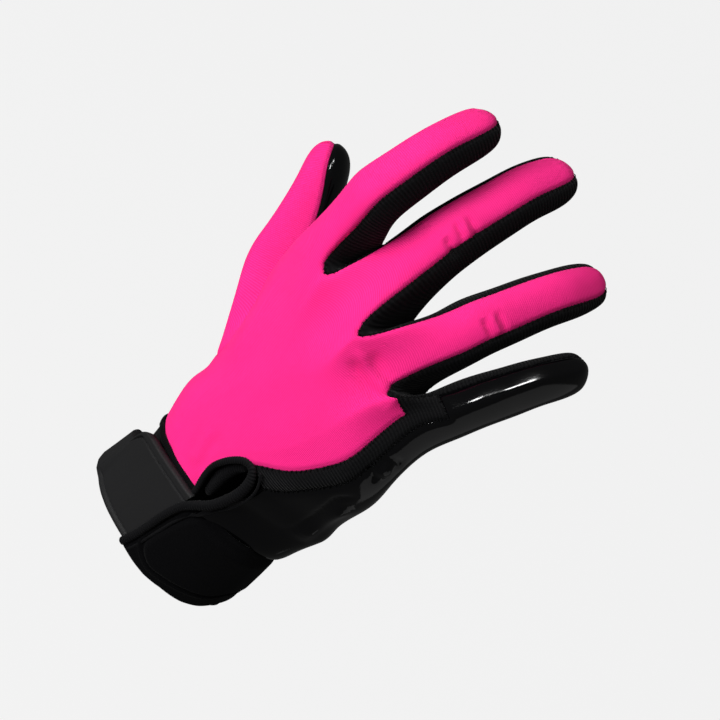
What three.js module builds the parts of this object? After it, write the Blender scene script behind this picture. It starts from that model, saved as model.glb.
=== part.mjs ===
// A football receiver's glove for a right hand, in the shape it takes when worn: a knitted back, a tacky
// palm that also wraps the little finger, ribbed strips between the fingers, a vented wrist with a bound
// edge, and a wrist strap that ends in a moulded pull tab. It is hollow, and open at the wrist. Millimetres.
// The origin is the centre of the wrist opening. +Z runs from the wrist to the fingers, +X towards the
// little finger, and +Y towards the palm side, so the back of the hand faces -Y.

import * as THREE from 'three';

// Driving dimensions
const handBreadth = 84;
const handDepth = 40;
const knuckleHeight = 110;
const wristBreadth = 59;
const wristDepth = 37;
const wristSetBack = 4;
const cuffHeight = 34;
const fingerWidth = 19;
const indexLength = 90;
const middleLength = 97;
const ringLength = 92;
const littleLength = 74;
const thumbLength = 70;
const clothWall = 1.2;
const palmWall = 1.6;
const cuffWall = 2;
const strapWall = 2.2;
const strapBottom = -1;
const strapHeight = 32;
const tabWall = 2.4;
const tabRail = 1;
const tongueLift = 4.6;
const bindingWidth = 3.4;
const bindingHeight = 1.5;
const bindingOver = 0.8;
const seamGap = 0.5;
const layerGap = 0.3;
const wrapGap = 0.8;

// Each row of the hand is a section across it: how far up the cuff it lies, or how far the knuckles have
// risen above it, and its centre, span, back and palm as shares of the breadth and depth. The wrist's rows
// keep the wrist's size.
const handRows = [
  { wrist: 1, cuff: 0.0, span: 1.0, back: 0.5, palm: 0.5 },
  { wrist: 1, cuff: 0.5, span: 0.97, back: 0.5, palm: 0.5 },
  { wrist: 1, cuff: 1.0, span: 0.98, back: 0.5, palm: 0.5 },
  { rise: 0.18, centre: 0.025, span: 0.87, back: 0.54, palm: 0.44, thenar: 0.04 },
  { rise: 0.36, centre: 0.035, span: 0.85, back: 0.53, palm: 0.43, thenar: 0.1, hollow: 0.05, drop: 0.02 },
  { rise: 0.56, centre: 0.04, span: 0.9, back: 0.5, palm: 0.43, thenar: 0.1, hollow: 0.07, drop: 0.05 },
  { rise: 0.77, centre: 0.03, span: 0.97, back: 0.46, palm: 0.42, thenar: 0.05, hollow: 0.05, drop: 0.1 },
  { rise: 1.0, centre: 0.01, span: 1.0, back: 0.42, palm: 0.36, hollow: 0.02, drop: 0.15 },
];

// The ball of the thumb swells the palm and the middle of the palm is hollow, each round a place across the
// hand.
const thenarMound = { centre: -0.6, reach: 0.45 };
const palmHollow = { centre: 0.15, reach: 0.4 };

// Towards the little finger the knuckle rows drop, by this power of the place across the hand.
const dropPower = 1.5;

// Across a row, three columns belong to each finger: its two seams and its middle. The places are shares of
// half the row's breadth, at the wrist and at the knuckles.
const columns = [
  { finger: 'index', wrist: -0.93, knuckle: -0.95 },
  { finger: 'index', wrist: -0.72, knuckle: -0.66 },
  { finger: 'index', wrist: -0.52, knuckle: -0.42 },
  { finger: 'middle', wrist: -0.44, knuckle: -0.34 },
  { finger: 'middle', wrist: -0.3, knuckle: -0.15 },
  { finger: 'middle', wrist: -0.17, knuckle: 0.04 },
  { finger: 'ring', wrist: -0.1, knuckle: 0.12 },
  { finger: 'ring', wrist: -0.02, knuckle: 0.29 },
  { finger: 'ring', wrist: 0.06, knuckle: 0.46 },
  { finger: 'little', wrist: 0.11, knuckle: 0.53 },
  { finger: 'little', wrist: 0.24, knuckle: 0.76 },
  { finger: 'little', wrist: 0.44, knuckle: 0.87 },
];

// Where the strips between the fingers begin on the back, the webs lie, and the palm side ends. x is a share
// of half the hand's breadth, y of its depth, and z of the finger's length past the knuckles.
const forks = [
  {
    between: ['index', 'middle'],
    back: [-0.52, -0.32, 0.2], web: [-0.45, 0.05, 0.21], palm: [-0.42, 0.35, 0.14],
  },
  {
    between: ['middle', 'ring'],
    back: [0.06, -0.29, 0.19], web: [0.09, 0.08, 0.17], palm: [0.11, 0.39, 0.11],
  },
  {
    between: ['ring', 'little'],
    back: [0.54, -0.14, 0.12], web: [0.56, 0.15, 0.1], palm: [0.57, 0.44, 0.03],
  },
];

// A fork's two sides stand this share of the finger width off its middle.
const forkReach = 0.11;

// Knuckles as shares of half the hand's breadth, its depth and the knuckle height; bones as shares of the
// finger's length; angles in degrees, spread towards the little finger and bends at the three joints.
const fingers = {
  index: {
    length: indexLength, girth: 1.06, knuckle: [-0.66, -0.06, 0.0], bones: [0.48, 0.27, 0.25],
    spread: -6, bends: [2, 37, 16], seams: [-80, 22],
  },
  middle: {
    length: middleLength, girth: 1.14, knuckle: [-0.19, -0.1, 0.02], bones: [0.47, 0.29, 0.24],
    spread: -8, bends: [33, 17, 13], seams: [-48, 48],
  },
  ring: {
    length: ringLength, girth: 1.08, knuckle: [0.28, -0.08, -0.01], bones: [0.46, 0.29, 0.25],
    spread: 5, bends: [41, 18, 15], seams: [-42, 52],
  },
  little: {
    length: littleLength, girth: 0.9, knuckle: [0.7, 0.0, -0.07], bones: [0.47, 0.25, 0.28],
    spread: 13, bends: [38, 17, 15], seams: [-45, 24],
  },
};

// Rings along a finger: which bone, the share of the bone, and the half sizes as shares of the finger's
// width.
const fingerRings = [
  { bone: 0, along: 0.76, side: 0.51, back: 0.5, front: 0.5 },
  { bone: 1, along: 0.0, side: 0.5, back: 0.48, front: 0.44 },
  { bone: 1, along: 0.5, side: 0.47, back: 0.44, front: 0.46 },
  { bone: 2, along: 0.0, side: 0.45, back: 0.41, front: 0.42 },
  { bone: 2, along: 0.45, side: 0.43, back: 0.37, front: 0.42 },
  { bone: 2, along: 0.8, side: 0.35, back: 0.28, front: 0.35 },
];
const seamsFront = [128, 180, 232];

// The thumb leaves the side of the hand. Its joints are shares of half the hand's breadth, the depth and the
// thumb's length above the cuff.
const thumbJoints = [
  [-0.67, 0.3, 0.33],
  [-1.16, 0.35, 0.8],
  [-1.49, 0.68, 1.06],
  [-1.83, 0.95, 1.22],
];
const thumbRings = [
  { bone: 0, along: 0.85, side: 0.62, back: 0.62, front: 0.62 },
  { bone: 1, along: 0.35, side: 0.55, back: 0.52, front: 0.55 },
  { bone: 1, along: 0.92, side: 0.52, back: 0.46, front: 0.48 },
  { bone: 2, along: 0.4, side: 0.5, back: 0.42, front: 0.46 },
  { bone: 2, along: 0.8, side: 0.4, back: 0.33, front: 0.36 },
];
const thumbAngles = [-50, 0, 50, 92, 135, 180, 225, 268];
const thumbRows = [4, 6];
const thumbFacing = [-1, -0.25, 0];

// Colours from a knitted pink cloth and three black materials
const pink = { color: 0xff2d8e, roughness: 0.85, metalness: 0 };
const gloss = { color: 0x0a0a0a, roughness: 0.22, metalness: 0 };
const ribbed = { color: 0x0c0c0c, roughness: 0.9, metalness: 0 };
const neoprene = { color: 0x0b0b0c, roughness: 0.8, metalness: 0 };
const moulded = { color: 0x1c1c1d, roughness: 0.6, metalness: 0 };

// Small vector helpers on arrays of three numbers
const add = (a, b) => a.map((v, i) => v + b[i]);
const minus = (a, b) => a.map((v, i) => v - b[i]);
const times = (a, k) => a.map((v) => v * k);
const dot = (a, b) => a[0] * b[0] + a[1] * b[1] + a[2] * b[2];
const cross = (a, b) => [
  a[1] * b[2] - a[2] * b[1],
  a[2] * b[0] - a[0] * b[2],
  a[0] * b[1] - a[1] * b[0],
];
const unit = (a) => times(a, 1 / Math.hypot(...a));
const blend = (a, b, t) => a + (b - a) * t;
const between = (a, b, t) => a.map((v, i) => blend(v, b[i], t));
const radians = (degrees) => (degrees * Math.PI) / 180;
const average = (list) => times(list.reduce(add), 1 / list.length);

// The cage: points, and four-sided faces that each belong to a panel
const cage = { points: [], faces: [] };
const point = (p) => cage.points.push(p) - 1;
const face = (corners, panel) => cage.faces.push({ corners, panel });

const halfBreadth = handBreadth / 2;
const sectionPower = 2.3;
const bow = (u) => Math.pow(1 - Math.pow(Math.min(Math.abs(u), 1), sectionPower), 1 / sectionPower);
const bump = (u, { centre, reach }) => Math.exp(-(((u - centre) / reach) ** 2));

// On the palm side of the wrist the columns are spread evenly over this share of half the breadth.
const palmReach = 0.9;

// The dorsal columns, the little finger's side, the palm columns back again, and the thumb's side
const sideCount = columns.length;
const ringCount = 2 * sideCount + 2;

function handRow(row) {
  const { wrist = 0, cuff = 1, rise = 0, centre = 0, span, back, palm } = row;
  const { thenar = 0, hollow = 0, drop = 0 } = row;
  const half = (wrist ? wristBreadth / 2 : halfBreadth) * span;
  const depth = wrist ? wristDepth : handDepth;
  const height = blend(cuff * cuffHeight, knuckleHeight, rise);
  const middle = wrist * -wristSetBack;
  const place = (u, y) => {
    const dropped = drop * knuckleHeight * Math.pow(Math.max(u, 0), dropPower);
    return point([centre * handBreadth + u * half, middle + y, height - dropped]);
  };
  const ring = new Array(ringCount);
  columns.forEach((column, i) => {
    const u = blend(column.wrist, column.knuckle, rise);
    ring[i] = place(u, -bow(u) * back * depth);
    const even = palmReach * (2 * i / (sideCount - 1) - 1);
    const v = blend(even, column.knuckle, rise);
    const swell = thenar * bump(v, thenarMound) - hollow * bump(v, palmHollow);
    ring[ringCount - 2 - i] = place(v, bow(v) * (palm + swell) * depth);
  });
  ring[sideCount] = place(1, 0);
  ring[ringCount - 1] = place(-1, 0);
  return ring;
}

const rows = handRows.map(handRow);

// The last row climbs from the knuckles to the forks between the fingers.
const forkAt = (fork, place, side) => {
  const length = (fingers[fork.between[0]].length + fingers[fork.between[1]].length) / 2;
  return [
    place[0] * halfBreadth + side * forkReach * fingerWidth,
    place[1] * handDepth,
    knuckleHeight + place[2] * length,
  ];
};

function fingerLine(finger) {
  const { length, knuckle, bones, spread, bends } = finger;
  const ahead = [Math.sin(radians(spread)), 0, Math.cos(radians(spread))];
  const palmward = [0, 1, 0];
  const joints = [[knuckle[0] * halfBreadth, knuckle[1] * handDepth, knuckleHeight * (1 + knuckle[2])]];
  const ways = [];
  let bend = 0;
  bones.forEach((bone, i) => {
    bend += radians(bends[i]);
    const way = add(times(ahead, Math.cos(bend)), times(palmward, Math.sin(bend)));
    ways.push(way);
    joints.push(add(joints[i], times(way, bone * length)));
  });
  return { joints, ways, across: cross(palmward, ahead) };
}

// A ring of points round a bone, at angles measured from the back of the finger towards the little finger.
function ringPoints(centre, across, back, ring, width, angles) {
  return angles.map((angle) => {
    const a = radians(angle);
    const depth = Math.cos(a) > 0 ? ring.back : ring.front;
    return add(centre, add(
      times(across, Math.sin(a) * ring.side * width),
      times(back, Math.cos(a) * depth * width),
    ));
  });
}

// Where a ring sits, and which way its bone runs there: near a joint it turns half way to the other bone.
const jointShare = 0.25;
function ringPlace(joints, ways, ring) {
  const { bone, along } = ring;
  const centre = between(joints[bone], joints[bone + 1], along);
  const isNear = along < jointShare && bone > 0;
  const isFar = along > 1 - jointShare && bone + 1 < ways.length;
  const other = bone + (isFar ? 1 : 0) - (isNear ? 1 : 0);
  return { centre, way: unit(between(ways[bone], ways[other], Math.abs(along - 0.5))) };
}

const fingerNames = Object.keys(fingers);
const lines = fingerNames.map((name) => fingerLine(fingers[name]));
const forkRow = new Array(ringCount);
const webs = [];

forks.forEach((fork, i) => {
  const left = 3 * i + 2;
  for (const side of [-1, 1]) {
    const column = side < 0 ? left : left + 1;
    forkRow[column] = point(forkAt(fork, fork.back, side));
    forkRow[ringCount - 2 - column] = point(forkAt(fork, fork.palm, side));
  }
  webs.push([-1, 1].map((side) => point(forkAt(fork, fork.web, side))));
});

// The rest of the fork row lies on each finger just past its knuckle.
const baseRing = { bone: 0, along: 0.3, side: 0.56, back: 0.56, front: 0.6 };
fingerNames.forEach((name, f) => {
  const finger = fingers[name];
  const { joints, ways, across } = lines[f];
  const { centre, way } = ringPlace(joints, ways, baseRing);
  const back = cross(across, way);
  const width = fingerWidth * finger.girth;
  const angles = [finger.seams[0], 0, finger.seams[1], 90, ...seamsFront, 270];
  const ring = ringPoints(centre, across, back, baseRing, width, angles);
  const places = [3 * f, 3 * f + 1, 3 * f + 2, sideCount];
  places.push(...[2, 1, 0].map((c) => ringCount - 2 - 3 * f - c), ringCount - 1);
  places.forEach((place, i) => {
    const outer = (i !== 3 || f === 3) && (i !== 7 || f === 0);
    if (outer && forkRow[place] === undefined) forkRow[place] = point(ring[i]);
  });
});
rows.push(forkRow);

// Panels of the hand by column. The strip at the little finger's edge is left open below as the wrist vent.
const ventRows = [2, 4];
const gussetColumn = sideCount - 2;
const isThumbHole = (row, column) =>
  row >= thumbRows[0] && row < thumbRows[1] && (column === ringCount - 1 || column === ringCount - 2);

function handPanel(row, column) {
  if (column === gussetColumn && row < ventRows[1]) return null;
  if (row < ventRows[0]) return 'cuff_band';
  if (column < gussetColumn) return 'back_panel';
  if (column === gussetColumn) return 'edge_gusset';
  return 'palm_panel';
}

for (let r = 0; r + 1 < rows.length; r += 1) {
  for (let c = 0; c < ringCount; c += 1) {
    const panel = handPanel(r, c);
    if (panel === null || isThumbHole(r, c)) continue;
    const next = (c + 1) % ringCount;
    face([rows[r][c], rows[r][next], rows[r + 1][next], rows[r + 1][c]], panel);
  }
}

// A tube of faces through rings of eight, closed at the tip by four faces that meet in one point
function tube(rings, tip, panels, shift) {
  for (let i = 0; i + 1 < rings.length; i += 1) {
    for (let k = 0; k < 8; k += 1) {
      const next = (k + 1) % 8;
      face([rings[i][k], rings[i][next], rings[i + 1][next], rings[i + 1][k]], panels[k]);
    }
  }
  const last = rings[rings.length - 1];
  for (let k = shift; k < 8 + shift; k += 2) {
    face([last[k % 8], last[(k + 1) % 8], last[(k + 2) % 8], tip], panels[k % 8]);
  }
}

const stripName = (f) => `${forks[f].between.join('_')}_strip`;

fingerNames.forEach((name, f) => {
  const finger = fingers[name];
  const { joints, ways, across } = lines[f];
  const width = fingerWidth * finger.girth;
  const angles = [finger.seams[0], 0, finger.seams[1], 90, ...seamsFront, 270];
  const base = [3 * f, 3 * f + 1, 3 * f + 2].map((c) => forkRow[c]);
  base.push(f < 3 ? webs[f][0] : forkRow[sideCount]);
  base.push(...[2, 1, 0].map((c) => forkRow[ringCount - 2 - 3 * f - c]));
  base.push(f > 0 ? webs[f - 1][1] : forkRow[ringCount - 1]);
  const rings = [base];
  for (const ring of fingerRings) {
    const { centre, way } = ringPlace(joints, ways, ring);
    rings.push(ringPoints(centre, across, cross(across, way), ring, width, angles).map(point));
  }
  const tip = point(joints[3]);
  const isWrapped = name === 'little';
  const back = isWrapped ? 'little_wrap' : `${name}_back`;
  const front = isWrapped ? 'little_wrap' : `${name}_palm`;
  const before = f > 0 ? stripName(f - 1) : front;
  const after = f < 3 ? stripName(f) : front;
  const panels = [back, back, after, after, front, front, before, before];
  tube(rings, tip, panels, 0);
});

forks.forEach((fork, f) => {
  const [near, far] = webs[f];
  const left = 3 * f + 2;
  const palmLeft = ringCount - 2 - left;
  face([forkRow[left], forkRow[left + 1], far, near], stripName(f));
  face([near, far, forkRow[palmLeft - 1], forkRow[palmLeft]], stripName(f));
});

// The thumb, from the rim of its hole
const thumbScale = [halfBreadth, handDepth, thumbLength];
const thumbLine = thumbJoints.map((joint) => {
  const [x, y, z] = joint.map((v, i) => v * thumbScale[i]);
  return [x, y, cuffHeight + z];
});
const thumbWays = [0, 1, 2].map((i) => unit(minus(thumbLine[i + 1], thumbLine[i])));
const [low, high] = thumbRows;
const palmEdge = ringCount - 2;
const thumbEdge = ringCount - 1;
const thumbBase = [
  rows[low][palmEdge], rows[low][thumbEdge], rows[low][0], rows[low + 1][0],
  rows[high][0], rows[high][thumbEdge], rows[high][palmEdge], rows[low + 1][palmEdge],
];
const thumbBack = unit(thumbFacing);
const thumbTube = [thumbBase];
for (const ring of thumbRings) {
  const { centre, way } = ringPlace(thumbLine, thumbWays, ring);
  const side = unit(cross(way, thumbBack));
  const back = cross(side, way);
  thumbTube.push(ringPoints(centre, side, back, ring, fingerWidth, thumbAngles).map(point));
}
const thumbPanels = ['thumb_back', 'thumb_back', 'thumb_back', 'thumb_palm'];
thumbPanels.push('thumb_palm', 'thumb_palm', 'thumb_palm', 'thumb_back');
tube(thumbTube, point(thumbLine[3]), thumbPanels, 1);

// Catmull-Clark subdivision, with the open edges kept as smooth curves
const edgeKey = (a, b) => (a < b ? `${a},${b}` : `${b},${a}`);

function neighbours({ points, faces }) {
  const edges = new Map();
  const around = points.map(() => ({ faces: [], edges: [] }));
  faces.forEach(({ corners }, f) => {
    corners.forEach((a, i) => {
      const b = corners[(i + 1) % corners.length];
      const key = edgeKey(a, b);
      if (!edges.has(key)) {
        edges.set(key, { ends: [a, b], faces: [] });
        around[a].edges.push(key);
        around[b].edges.push(key);
      }
      edges.get(key).faces.push(f);
      around[a].faces.push(f);
    });
  });
  return { edges, around };
}

function openEnds(index, { edges, around }) {
  const open = around[index].edges.map((key) => edges.get(key)).filter((edge) => edge.faces.length === 1);
  return open.map(({ ends }) => (ends[0] === index ? ends[1] : ends[0]));
}

function subdivide(mesh) {
  const { points, faces } = mesh;
  const links = neighbours(mesh);
  const centres = faces.map(({ corners }) => average(corners.map((c) => points[c])));
  const made = points.map((p, i) => {
    const { faces: near, edges: keys } = links.around[i];
    if (keys.length === 0) return p;
    const ends = openEnds(i, links);
    if (ends.length > 0) return average([...Array(6).fill(p), ...ends.map((e) => points[e])]);
    const n = near.length;
    const middles = keys.map((key) => average(links.edges.get(key).ends.map((e) => points[e])));
    const f = average(near.map((k) => centres[k]));
    return times(add(add(f, times(average(middles), 2)), times(p, n - 3)), 1 / n);
  });
  const edgeIndex = new Map();
  for (const [key, { ends, faces: near }] of links.edges) {
    const both = ends.map((e) => points[e]);
    const list = near.length === 1 ? both : [...both, ...near.map((k) => centres[k])];
    edgeIndex.set(key, made.push(average(list)) - 1);
  }
  const finer = [];
  faces.forEach(({ corners, panel }, f) => {
    const centre = made.push(centres[f]) - 1;
    corners.forEach((corner, i) => {
      const after = corners[(i + 1) % 4];
      const before = corners[(i + 3) % 4];
      const ahead = edgeIndex.get(edgeKey(corner, after));
      const behind = edgeIndex.get(edgeKey(before, corner));
      finer.push({ corners: [corner, ahead, centre, behind], panel });
    });
  });
  return { points: made, faces: finer };
}

// Where each point of a mesh lands when it is subdivided without end
function limitPoints(mesh) {
  const { points, faces } = mesh;
  const links = neighbours(mesh);
  return points.map((p, i) => {
    const { faces: near, edges: keys } = links.around[i];
    if (keys.length === 0) return p;
    const ends = openEnds(i, links);
    if (ends.length > 0) return average([p, p, p, p, ...ends.map((e) => points[e])]);
    const n = near.length;
    let sum = times(p, n * n);
    for (const key of keys) {
      const { ends: pair } = links.edges.get(key);
      sum = add(sum, times(points[pair[0] === i ? pair[1] : pair[0]], 4));
    }
    for (const k of near) {
      const { corners } = faces[k];
      sum = add(sum, points[corners[(corners.indexOf(i) + 2) % 4]]);
    }
    return times(sum, 1 / (n * (n + 5)));
  });
}

// Moves the cage out until the smooth surface passes through the points it was drawn with.
const fittingRounds = 2;
const fittingPull = 0.8;
function fitted(mesh) {
  let points = mesh.points;
  for (let i = 0; i < fittingRounds; i += 1) {
    const landed = limitPoints({ points, faces: mesh.faces });
    points = points.map((p, k) => add(p, times(minus(mesh.points[k], landed[k]), fittingPull)));
  }
  return { points, faces: mesh.faces };
}

const skinLevels = 1;
let skin = fitted(cage);
for (let i = 0; i < skinLevels; i += 1) skin = subdivide(skin);
skin = { points: limitPoints(skin), faces: skin.faces };

function normals({ points, faces }) {
  const sums = points.map(() => [0, 0, 0]);
  for (const { corners } of faces) {
    const [a, b, c, d] = corners.map((k) => points[k]);
    const normal = cross(minus(c, a), minus(d, b));
    for (const k of corners) sums[k] = add(sums[k], normal);
  }
  return sums.map((s) => (Math.hypot(...s) > 0 ? unit(s) : s));
}
const skinNormals = normals(skin);

// One panel as a closed solid: its part of the skin, a copy one wall further in, and a rim between them. The
// rim is drawn back from the seam by half the seam's gap, and at a sharp corner by no more than twice that.
const cornerShare = 0.5;
function panelGeometry(panel, wall) {
  const faces = skin.faces.filter((f) => f.panel === panel);
  const rim = new Map();
  const seen = new Set(faces.flatMap(({ corners }) => corners.map((a, i) => `${a}>${corners[(i + 1) % 4]}`)));
  const inward = new Map();
  for (const { corners } of faces) {
    corners.forEach((a, i) => {
      const b = corners[(i + 1) % 4];
      if (seen.has(`${b}>${a}`)) return;
      rim.set(a, b);
      const along = unit(minus(skin.points[b], skin.points[a]));
      for (const k of [a, b]) {
        const into = unit(cross(skinNormals[k], along));
        inward.set(k, [...(inward.get(k) ?? []), into]);
      }
    });
  }
  const index = new Map();
  const outer = [];
  const inner = [];
  for (const k of new Set(faces.flatMap(({ corners }) => corners))) {
    index.set(k, outer.length);
    let p = skin.points[k];
    if (inward.has(k)) {
      const sum = inward.get(k).reduce(add);
      const way = unit(sum);
      const reach = Math.max(dot(way, inward.get(k)[0]), cornerShare);
      p = add(p, times(way, seamGap / 2 / reach));
    }
    outer.push(p);
    inner.push(add(p, times(skinNormals[k], -wall)));
  }
  const count = outer.length;
  const triangles = [];
  for (const { corners } of faces) {
    const [a, b, c, d] = corners.map((k) => index.get(k));
    triangles.push(a, b, c, a, c, d);
    triangles.push(a + count, c + count, b + count, a + count, d + count, c + count);
  }
  for (const [a, b] of rim) {
    const [p, q] = [index.get(a), index.get(b)];
    if (a < b) triangles.push(q, p, q + count, p, p + count, q + count);
    else triangles.push(q, p, p + count, q, p + count, q + count);
  }
  return solid([...outer, ...inner], triangles);
}

function solid(points, triangles) {
  const geometry = new THREE.BufferGeometry();
  geometry.setAttribute('position', new THREE.Float32BufferAttribute(points.flat(), 3));
  geometry.setIndex(triangles);
  geometry.computeVertexNormals();
  return geometry;
}

// The wrist parts wrap the cuff. A turn is an angle round it, from the middle of the back towards the little
// finger, and a lift is how far a surface stands off the cuff's outside.
const wristRound = (value) => Math.sign(value) * Math.pow(Math.abs(value), 2 / sectionPower);
function wristPoint(turn, height, lift) {
  const a = radians(turn);
  return [
    (wristBreadth / 2 + lift) * wristRound(Math.sin(a)),
    -wristSetBack - (wristDepth / 2 + lift) * wristRound(Math.cos(a)),
    height,
  ];
}

// A closed sheet on a grid: outer and inner are rows of points, all of one length.
function sheetGeometry(outer, inner) {
  const across = outer[0].length;
  const count = outer.length * across;
  const at = (i, j) => i * across + j;
  const triangles = [];
  const quad = (a, b, c, d) => triangles.push(a, b, c, a, c, d);
  for (let i = 0; i + 1 < outer.length; i += 1) {
    for (let j = 0; j + 1 < across; j += 1) {
      const corners = [at(i, j), at(i + 1, j), at(i + 1, j + 1), at(i, j + 1)];
      quad(...corners);
      quad(...corners.map((k) => k + count).reverse());
    }
  }
  const rim = [];
  for (let i = 0; i + 1 < outer.length; i += 1) rim.push([at(i, 0), at(i + 1, 0)]);
  for (let j = 0; j + 1 < across; j += 1) rim.push([at(outer.length - 1, j), at(outer.length - 1, j + 1)]);
  for (let i = outer.length - 1; i > 0; i -= 1) rim.push([at(i, across - 1), at(i - 1, across - 1)]);
  for (let j = across - 1; j > 0; j -= 1) rim.push([at(0, j), at(0, j - 1)]);
  for (const [a, b] of rim) quad(a, a + count, b + count, b);
  return solid([...outer.flat(), ...inner.flat()], triangles);
}

// A wrap round the wrist. Each span says the turn at its lower and upper edge, the heights of the two, and
// how far it stands off, and the profile how far the outside is raised across the height.
function wrapGeometry(spans, profile) {
  const row = (span, side) => profile.map(({ across, raised, ridge = 0 }) => {
    const { turns, low, high, off = 0, rail = 0 } = span;
    const lift = wrapGap + off + side * (raised + rail * ridge);
    return wristPoint(blend(turns[0], turns[1], across), blend(low, high, across), lift);
  });
  return sheetGeometry(spans.map((span) => row(span, 1)), spans.map((span) => row(span, 0)));
}

// The group is moved so that the origin is the centre of the wrist opening.
const glove = new THREE.Group();
function addPart(name, geometry, finish) {
  const mesh = new THREE.Mesh(geometry, new THREE.MeshStandardMaterial(finish));
  mesh.name = name;
  glove.add(mesh);
}

const panels = [
  { name: 'back_panel', wall: clothWall, finish: pink },
  { name: 'index_back', wall: clothWall, finish: pink },
  { name: 'middle_back', wall: clothWall, finish: pink },
  { name: 'ring_back', wall: clothWall, finish: pink },
  { name: 'thumb_back', wall: clothWall, finish: pink },
  { name: 'palm_panel', wall: palmWall, finish: gloss },
  { name: 'index_palm', wall: palmWall, finish: gloss },
  { name: 'middle_palm', wall: palmWall, finish: gloss },
  { name: 'ring_palm', wall: palmWall, finish: gloss },
  { name: 'little_wrap', wall: palmWall, finish: gloss },
  { name: 'thumb_palm', wall: palmWall, finish: gloss },
  { name: 'edge_gusset', wall: clothWall, finish: ribbed },
  ...forks.map((fork, f) => ({ name: stripName(f), wall: clothWall, finish: ribbed })),
  { name: 'cuff_band', wall: cuffWall, finish: neoprene },
];
for (const { name, wall, finish } of panels) addPart(name, panelGeometry(name, wall), finish);

// The strap comes round from the palm, past the little finger's side, to a bound edge on the back of the
// wrist. Its edges are thinner than its middle.
const strapSteps = 26;
const strapStart = [3, 13];
const strapEnd = 205;
const strapTop = strapBottom + strapHeight;
const strapEdge = 0.55 * strapWall;
const strapSpans = Array.from({ length: strapSteps + 1 }, (_, i) => {
  const turns = strapStart.map((start) => blend(start, strapEnd, i / strapSteps));
  return { turns, low: strapBottom, high: strapTop };
});
const strapProfile = [
  { across: 0, raised: strapEdge },
  { across: 0.05, raised: strapWall },
  { across: 0.95, raised: strapWall },
  { across: 1, raised: strapEdge },
];
addPart('wrist_strap', wrapGeometry(strapSpans, strapProfile), neoprene);

// The bound edge leans a little, as the strap's end does. Its turns and its gap to the strap are in degrees.
const bindingSteps = 3;
const bindingTurn = 8;
const bindingGap = 1;
const bindingRise = strapWall + bindingHeight;
const bindingSpans = Array.from({ length: bindingSteps + 1 }, (_, i) => {
  const turns = strapStart.map((start) => start - bindingGap - bindingTurn * (1 - i / bindingSteps));
  return { turns, low: strapBottom - bindingOver, high: strapTop + bindingOver };
});
const bindingProfile = [0, 0.5, 1].map((across) => ({ across, raised: bindingRise }));
addPart('strap_binding', wrapGeometry(bindingSpans, bindingProfile), ribbed);

// The tab runs on from the bound edge over the thumb's side. Two raised rails border its wide part, and a
// narrower tongue ends it, standing off the cuff. Low and high are shares of the strap's height, off of the
// tongue's lift.
const tabSpans = [
  { turns: [-80, -70], low: 0.16, high: 0.62, off: 1 },
  { turns: [-74, -65], low: 0.14, high: 0.64, off: 0.83 },
  { turns: [-67, -59], low: 0.12, high: 0.66, off: 0.65 },
  { turns: [-61, -54], low: 0.09, high: 0.72, off: 0.5 },
  { turns: [-57, -48], low: 0.03, high: 0.94, off: 0.39 },
  { turns: [-52, -42], low: 0.02, high: 1.02, off: 0.28, ridged: 1 },
  { turns: [-43, -34], low: 0.02, high: 1.03, off: 0.15, ridged: 1 },
  { turns: [-31, -23], low: 0.02, high: 1.05, off: 0, ridged: 1 },
  { turns: [-19, -10], low: 0.02, high: 1.05, off: 0, ridged: 1 },
  { turns: [-7, 3], low: 0.03, high: 1.03, off: 0, ridged: 1 },
].map(({ turns, low, high, off, ridged = 0 }) => ({
  turns,
  low: strapBottom + low * strapHeight,
  high: strapBottom + high * strapHeight,
  off: off * tongueLift,
  rail: ridged * tabRail,
}));
const tabEdge = 0.6 * tabWall;
const tabProfile = [
  { across: 0, raised: tabEdge },
  { across: 0.02, raised: tabWall, ridge: 1 },
  { across: 0.1, raised: tabWall, ridge: 1 },
  { across: 0.12, raised: tabWall },
  { across: 0.88, raised: tabWall },
  { across: 0.9, raised: tabWall, ridge: 1 },
  { across: 0.98, raised: tabWall, ridge: 1 },
  { across: 1, raised: tabEdge },
];
addPart('pull_tab', wrapGeometry(tabSpans, tabProfile), moulded);

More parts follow.
